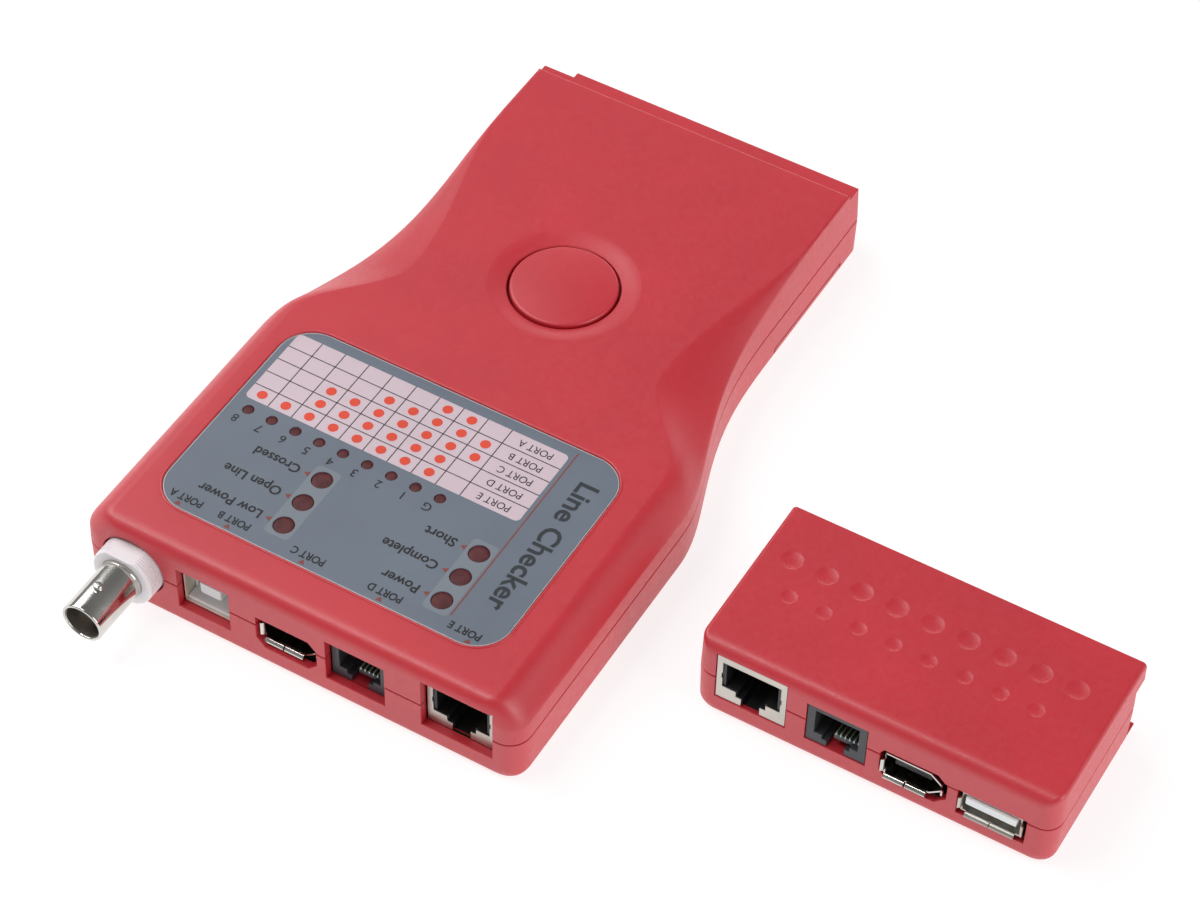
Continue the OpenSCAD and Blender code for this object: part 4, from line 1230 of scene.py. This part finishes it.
def make_shields():
    """Sheet-metal RJ45 shields: a folded box, its face cut back to a narrow frame with latch notches."""
    # The left half of the window's edge, from its top to its foot, and the same mirrored
    left = [(-6.6, 11.25), (-6.6, 7.8), (-6.85, 7.8), (-6.85, 6.3), (-6.6, 6.3), (-6.6, 3.7), (-3.4, 3.7),
            (-3.4, 2.2), (-2.1, 2.2), (-2.1, -1)]
    window = left[::-1] + [(-u, w) for u, w in left]
    for prefix, body in (("", "main_unit"), ("remote_", "remote")):
        low, high = box_mm(prefix + "rj45_shield")
        x, z = (low.x + high.x) / 2, SEAT_Z
        half = (high.x - low.x) / 2
        skin = block(prefix + "rj45_shell_sheet", (x - half, low.y, z + 0.02), (x + half, high.y, high.z))
        boolean(skin, block("tool", (x - half + SHEET, low.y + SHEET, z - 1),
                            (x + half - SHEET, high.y + 1, high.z - SHEET)))
        boolean(skin, along_y(window, x, z, low.y - 1, low.y + 2.5))
        soften(skin, 0.1)
        finish_piece(skin, body, shield_metal, [prefix + "rj45_shield"], weighted=False)


def curl(length, start, turn, steps=6):
    """A guide flap curled outwards: it leaves the shell along -Y and bends away from the opening.

    start is the middle of its root, and turn (degrees round Y) is 0 for a flap on the floor of the shell.
    """
    radius, reach = 0.9, 74
    turns = [math.radians(reach * k / steps) for k in range(steps + 1)]
    path = [(0.25, 0.0, 0.0)] + [(-radius * math.sin(a), -radius * (1 - math.cos(a)), a) for a in turns]
    outer, inner = ([(y - side * math.sin(a), z + side * math.cos(a)) for y, z, a in path]
                    for side in (SHEET / 2, -SHEET / 2))
    profile = outer + inner[::-1]
    flap = loft("flap", [[(u, y, z) for y, z in profile] for u in (-length / 2, length / 2)])
    flap.data.transform(Matrix.Translation(start) @ Matrix.Rotation(math.radians(turn), 4, "Y"))
    return flap


def sheet_shell(name, body, outline, length, flaps, tab, mat):
    """A folded sheet-metal socket shell: a tube of the outline, its flaps, and its two solder tabs."""
    low, high = box_mm(name + "_shell")
    x, y, z = (low.x + high.x) / 2, high.y - length, high.z - max(outline, key=lambda p: p[1])[1]
    skin = along_y(outline, x, z, y + 0.06, high.y)
    boolean(skin, along_y(offset(outline, -SHEET), x, z, y - 1, high.y + 1))
    parts = [skin] + [curl(flap_l, (x + at[0], y, z + at[1]), turn) for at, turn, flap_l in flaps]
    tab_y = y + tab[1]
    for mid in (x - tab[0], x + tab[0]):
        parts.append(block("tab", (mid - 0.4, tab_y, SEAT_Z - 2), (mid + 0.4, tab_y + 0.8, z + 0.1)))
    finish_piece(combine(name + "_sheet", parts), body, mat, [name + "_shell"],
                 sharp=45, weighted=False)


def make_sheet_shells():
    """Each flap is the middle of its root, its turn and its length."""
    h = SHEET / 2
    flaps = [((-3.85, h), 0, 4.5), ((1.0, h), 0, 4.5), ((-6.4 + h, 3.2), 90, 3.6), ((6.4 - h, 3.2), -90, 1.6)]
    for prefix, body in (("", "main_unit"), ("remote_", "remote")):
        sheet_shell(prefix + "firewire", body, FIREWIRE_OUTLINE, FIREWIRE_L, flaps, (4, 8), nickel)
    flaps = [((-2.75, h), 0, 5.3), ((2.75, h), 0, 5.3), ((-6.55 + h, 3), 90, 3.2), ((6.55 - h, 3), -90, 3.2)]
    sheet_shell("remote_usb", "remote", USB_A_OUTLINE, USB_A_L, flaps, (5.2, 9), shield_metal)


make_socket_floors()
make_sheet_shells()
make_usb_b_insert()
make_usb_a_insert()
make_shields()
make_contact_strips()
make_rj11_comb("rj11", "main_unit", RJ11_X, box_mm("rj11_housing")[0].y)
make_rj11_comb("remote_rj11", "remote", REMOTE_RJ11_X, box_mm("remote_rj11_housing")[0].y)


# ---------------------------------------------------------------- materials and edges of the CAD nodes
WELD_M = 1e-6
SHARP_ANGLE = 30


def dress(names, mat, bevel=0):
    """Gives carried-over CAD nodes their material, and fine rounded edges."""
    for name in names.split():
        obj = NODES[name]
        obj.data.materials.clear()
        obj.data.materials.append(mat)
        if bevel:
            weld = obj.modifiers.new("weld", "WELD")
            weld.merge_threshold = WELD_M
            soften(obj, bevel, SHARP_ANGLE)


dress("label_overlay", label_grey)
dress("main_board display_board remote_board", circuit_board)
dress("board_header switch_body battery_snap", black_plastic)
dress("firewire_insert remote_firewire_insert rj45_housing remote_rj45_housing", black_plastic)
dress("rj11_housing remote_rj11_housing", grey_plastic, bevel=0.12)
dress("switch_plunger bnc_insulator", white_plastic)
dress("case_screws remote_screws", spring_steel)
dress("usb_b_shell", frame_metal, bevel=0.08)
dress("bnc_contact rj11_contacts rj45_contacts remote_rj11_contacts remote_rj45_contacts", gold)
dress("battery", battery_jacket)
dress("battery_leads", wire_jacket)


# ---------------------------------------------------------------- floor, light and camera
FLOOR_HALF = 4000
FLOOR_GLOW = 0.82
SKY_STOPS = ((0.0, 0.26), (0.35, 0.28), (0.65, 0.24), (1.0, 0.16))


def make_floor():
    mat = material("floor", (0.28, 0.28, 0.28), 0.6, specular=0.1)
    vary_color(mat, noise(mat, 2, 2), (0.275, 0.275, 0.275), (0.285, 0.285, 0.285))
    shader = shader_of(mat)
    shader.inputs["Emission Color"].default_value = (1, 1, 1, 1)
    shader.inputs["Emission Strength"].default_value = FLOOR_GLOW
    corners = rectangle(-FLOOR_HALF, FLOOR_HALF, -FLOOR_HALF, FLOOR_HALF)
    floor = new_object("floor", [(x, y, 0) for x, y in corners], [[0, 1, 2, 3]])
    floor.data.transform(Matrix.Scale(MM, 4))
    floor.data.materials.append(mat)


def area_light(name, at, aim, size, power):
    data = bpy.data.lights.new(name, "AREA")
    data.shape = "RECTANGLE"
    data.size, data.size_y = size
    data.energy = power
    lamp = add_object(name, data)
    lamp.visible_camera = False
    lamp.location = at
    lamp.rotation_euler = (Vector(aim) - Vector(at)).to_track_quat("-Z", "Y").to_euler()


def make_lights_of_studio():
    world = bpy.data.worlds.new("studio")
    SCENE.world = world
    world.use_nodes = True
    background = world.node_tree.nodes["Background"]
    background.inputs["Strength"].default_value = 1.0
    nodes, links = world.node_tree.nodes, world.node_tree.links
    place = nodes.new("ShaderNodeTexCoord")
    split = nodes.new("ShaderNodeSeparateXYZ")
    ramp = nodes.new("ShaderNodeValToRGB")
    while len(ramp.color_ramp.elements) < len(SKY_STOPS):
        ramp.color_ramp.elements.new(0.5)
    for element, (height, value) in zip(ramp.color_ramp.elements, SKY_STOPS):
        element.position = height
        element.color = (value, value, value, 1)
    links.new(place.outputs["Generated"], split.inputs["Vector"])
    links.new(split.outputs["Z"], ramp.inputs["Fac"])
    links.new(ramp.outputs["Color"], background.inputs["Color"])
    area_light("key", (-0.95, 0.05, 0.95), (0.03, 0, 0), (1.1, 1.1), 10.5)
    area_light("side", (1.15, 0.0, 0.52), (0.03, 0, 0), (0.8, 0.8), 6)
    area_light("back", (-0.35, 1.15, 0.22), (0.03, 0, 0.02), (1.2, 0.3), 2.8)
    area_light("softbox", (-0.24, -0.30, 1.0), (0.03, 0, 0), (0.25, 0.25), 2.15)


CAMERA_AT = (0.263793, -0.432405, 0.564465)
CAMERA_AZIMUTH = 29.146
CAMERA_ELEVATION = 48.753
CAMERA_ROLL = 1.608
CAMERA_LENS = 103.9


def make_camera():
    a, e, roll = (math.radians(v) for v in (CAMERA_AZIMUTH, CAMERA_ELEVATION, CAMERA_ROLL))
    back = Vector((math.sin(a) * math.cos(e), -math.cos(a) * math.cos(e), math.sin(e)))
    right = Vector((math.cos(a), math.sin(a), 0))
    up = back.cross(right)
    right, up = right * math.cos(roll) + up * math.sin(roll), up * math.cos(roll) - right * math.sin(roll)
    data = bpy.data.cameras.new("camera")
    data.sensor_width = 36
    data.lens = CAMERA_LENS
    data.clip_start = 0.01
    camera = add_object("camera", data)
    camera.matrix_world = Matrix.Translation(CAMERA_AT) @ Matrix((right, up, back)).transposed().to_4x4()
    SCENE.camera = camera


make_floor()
make_lights_of_studio()
make_camera()
SCENE.view_settings.view_transform = "Standard"

bpy.context.view_layer.update()
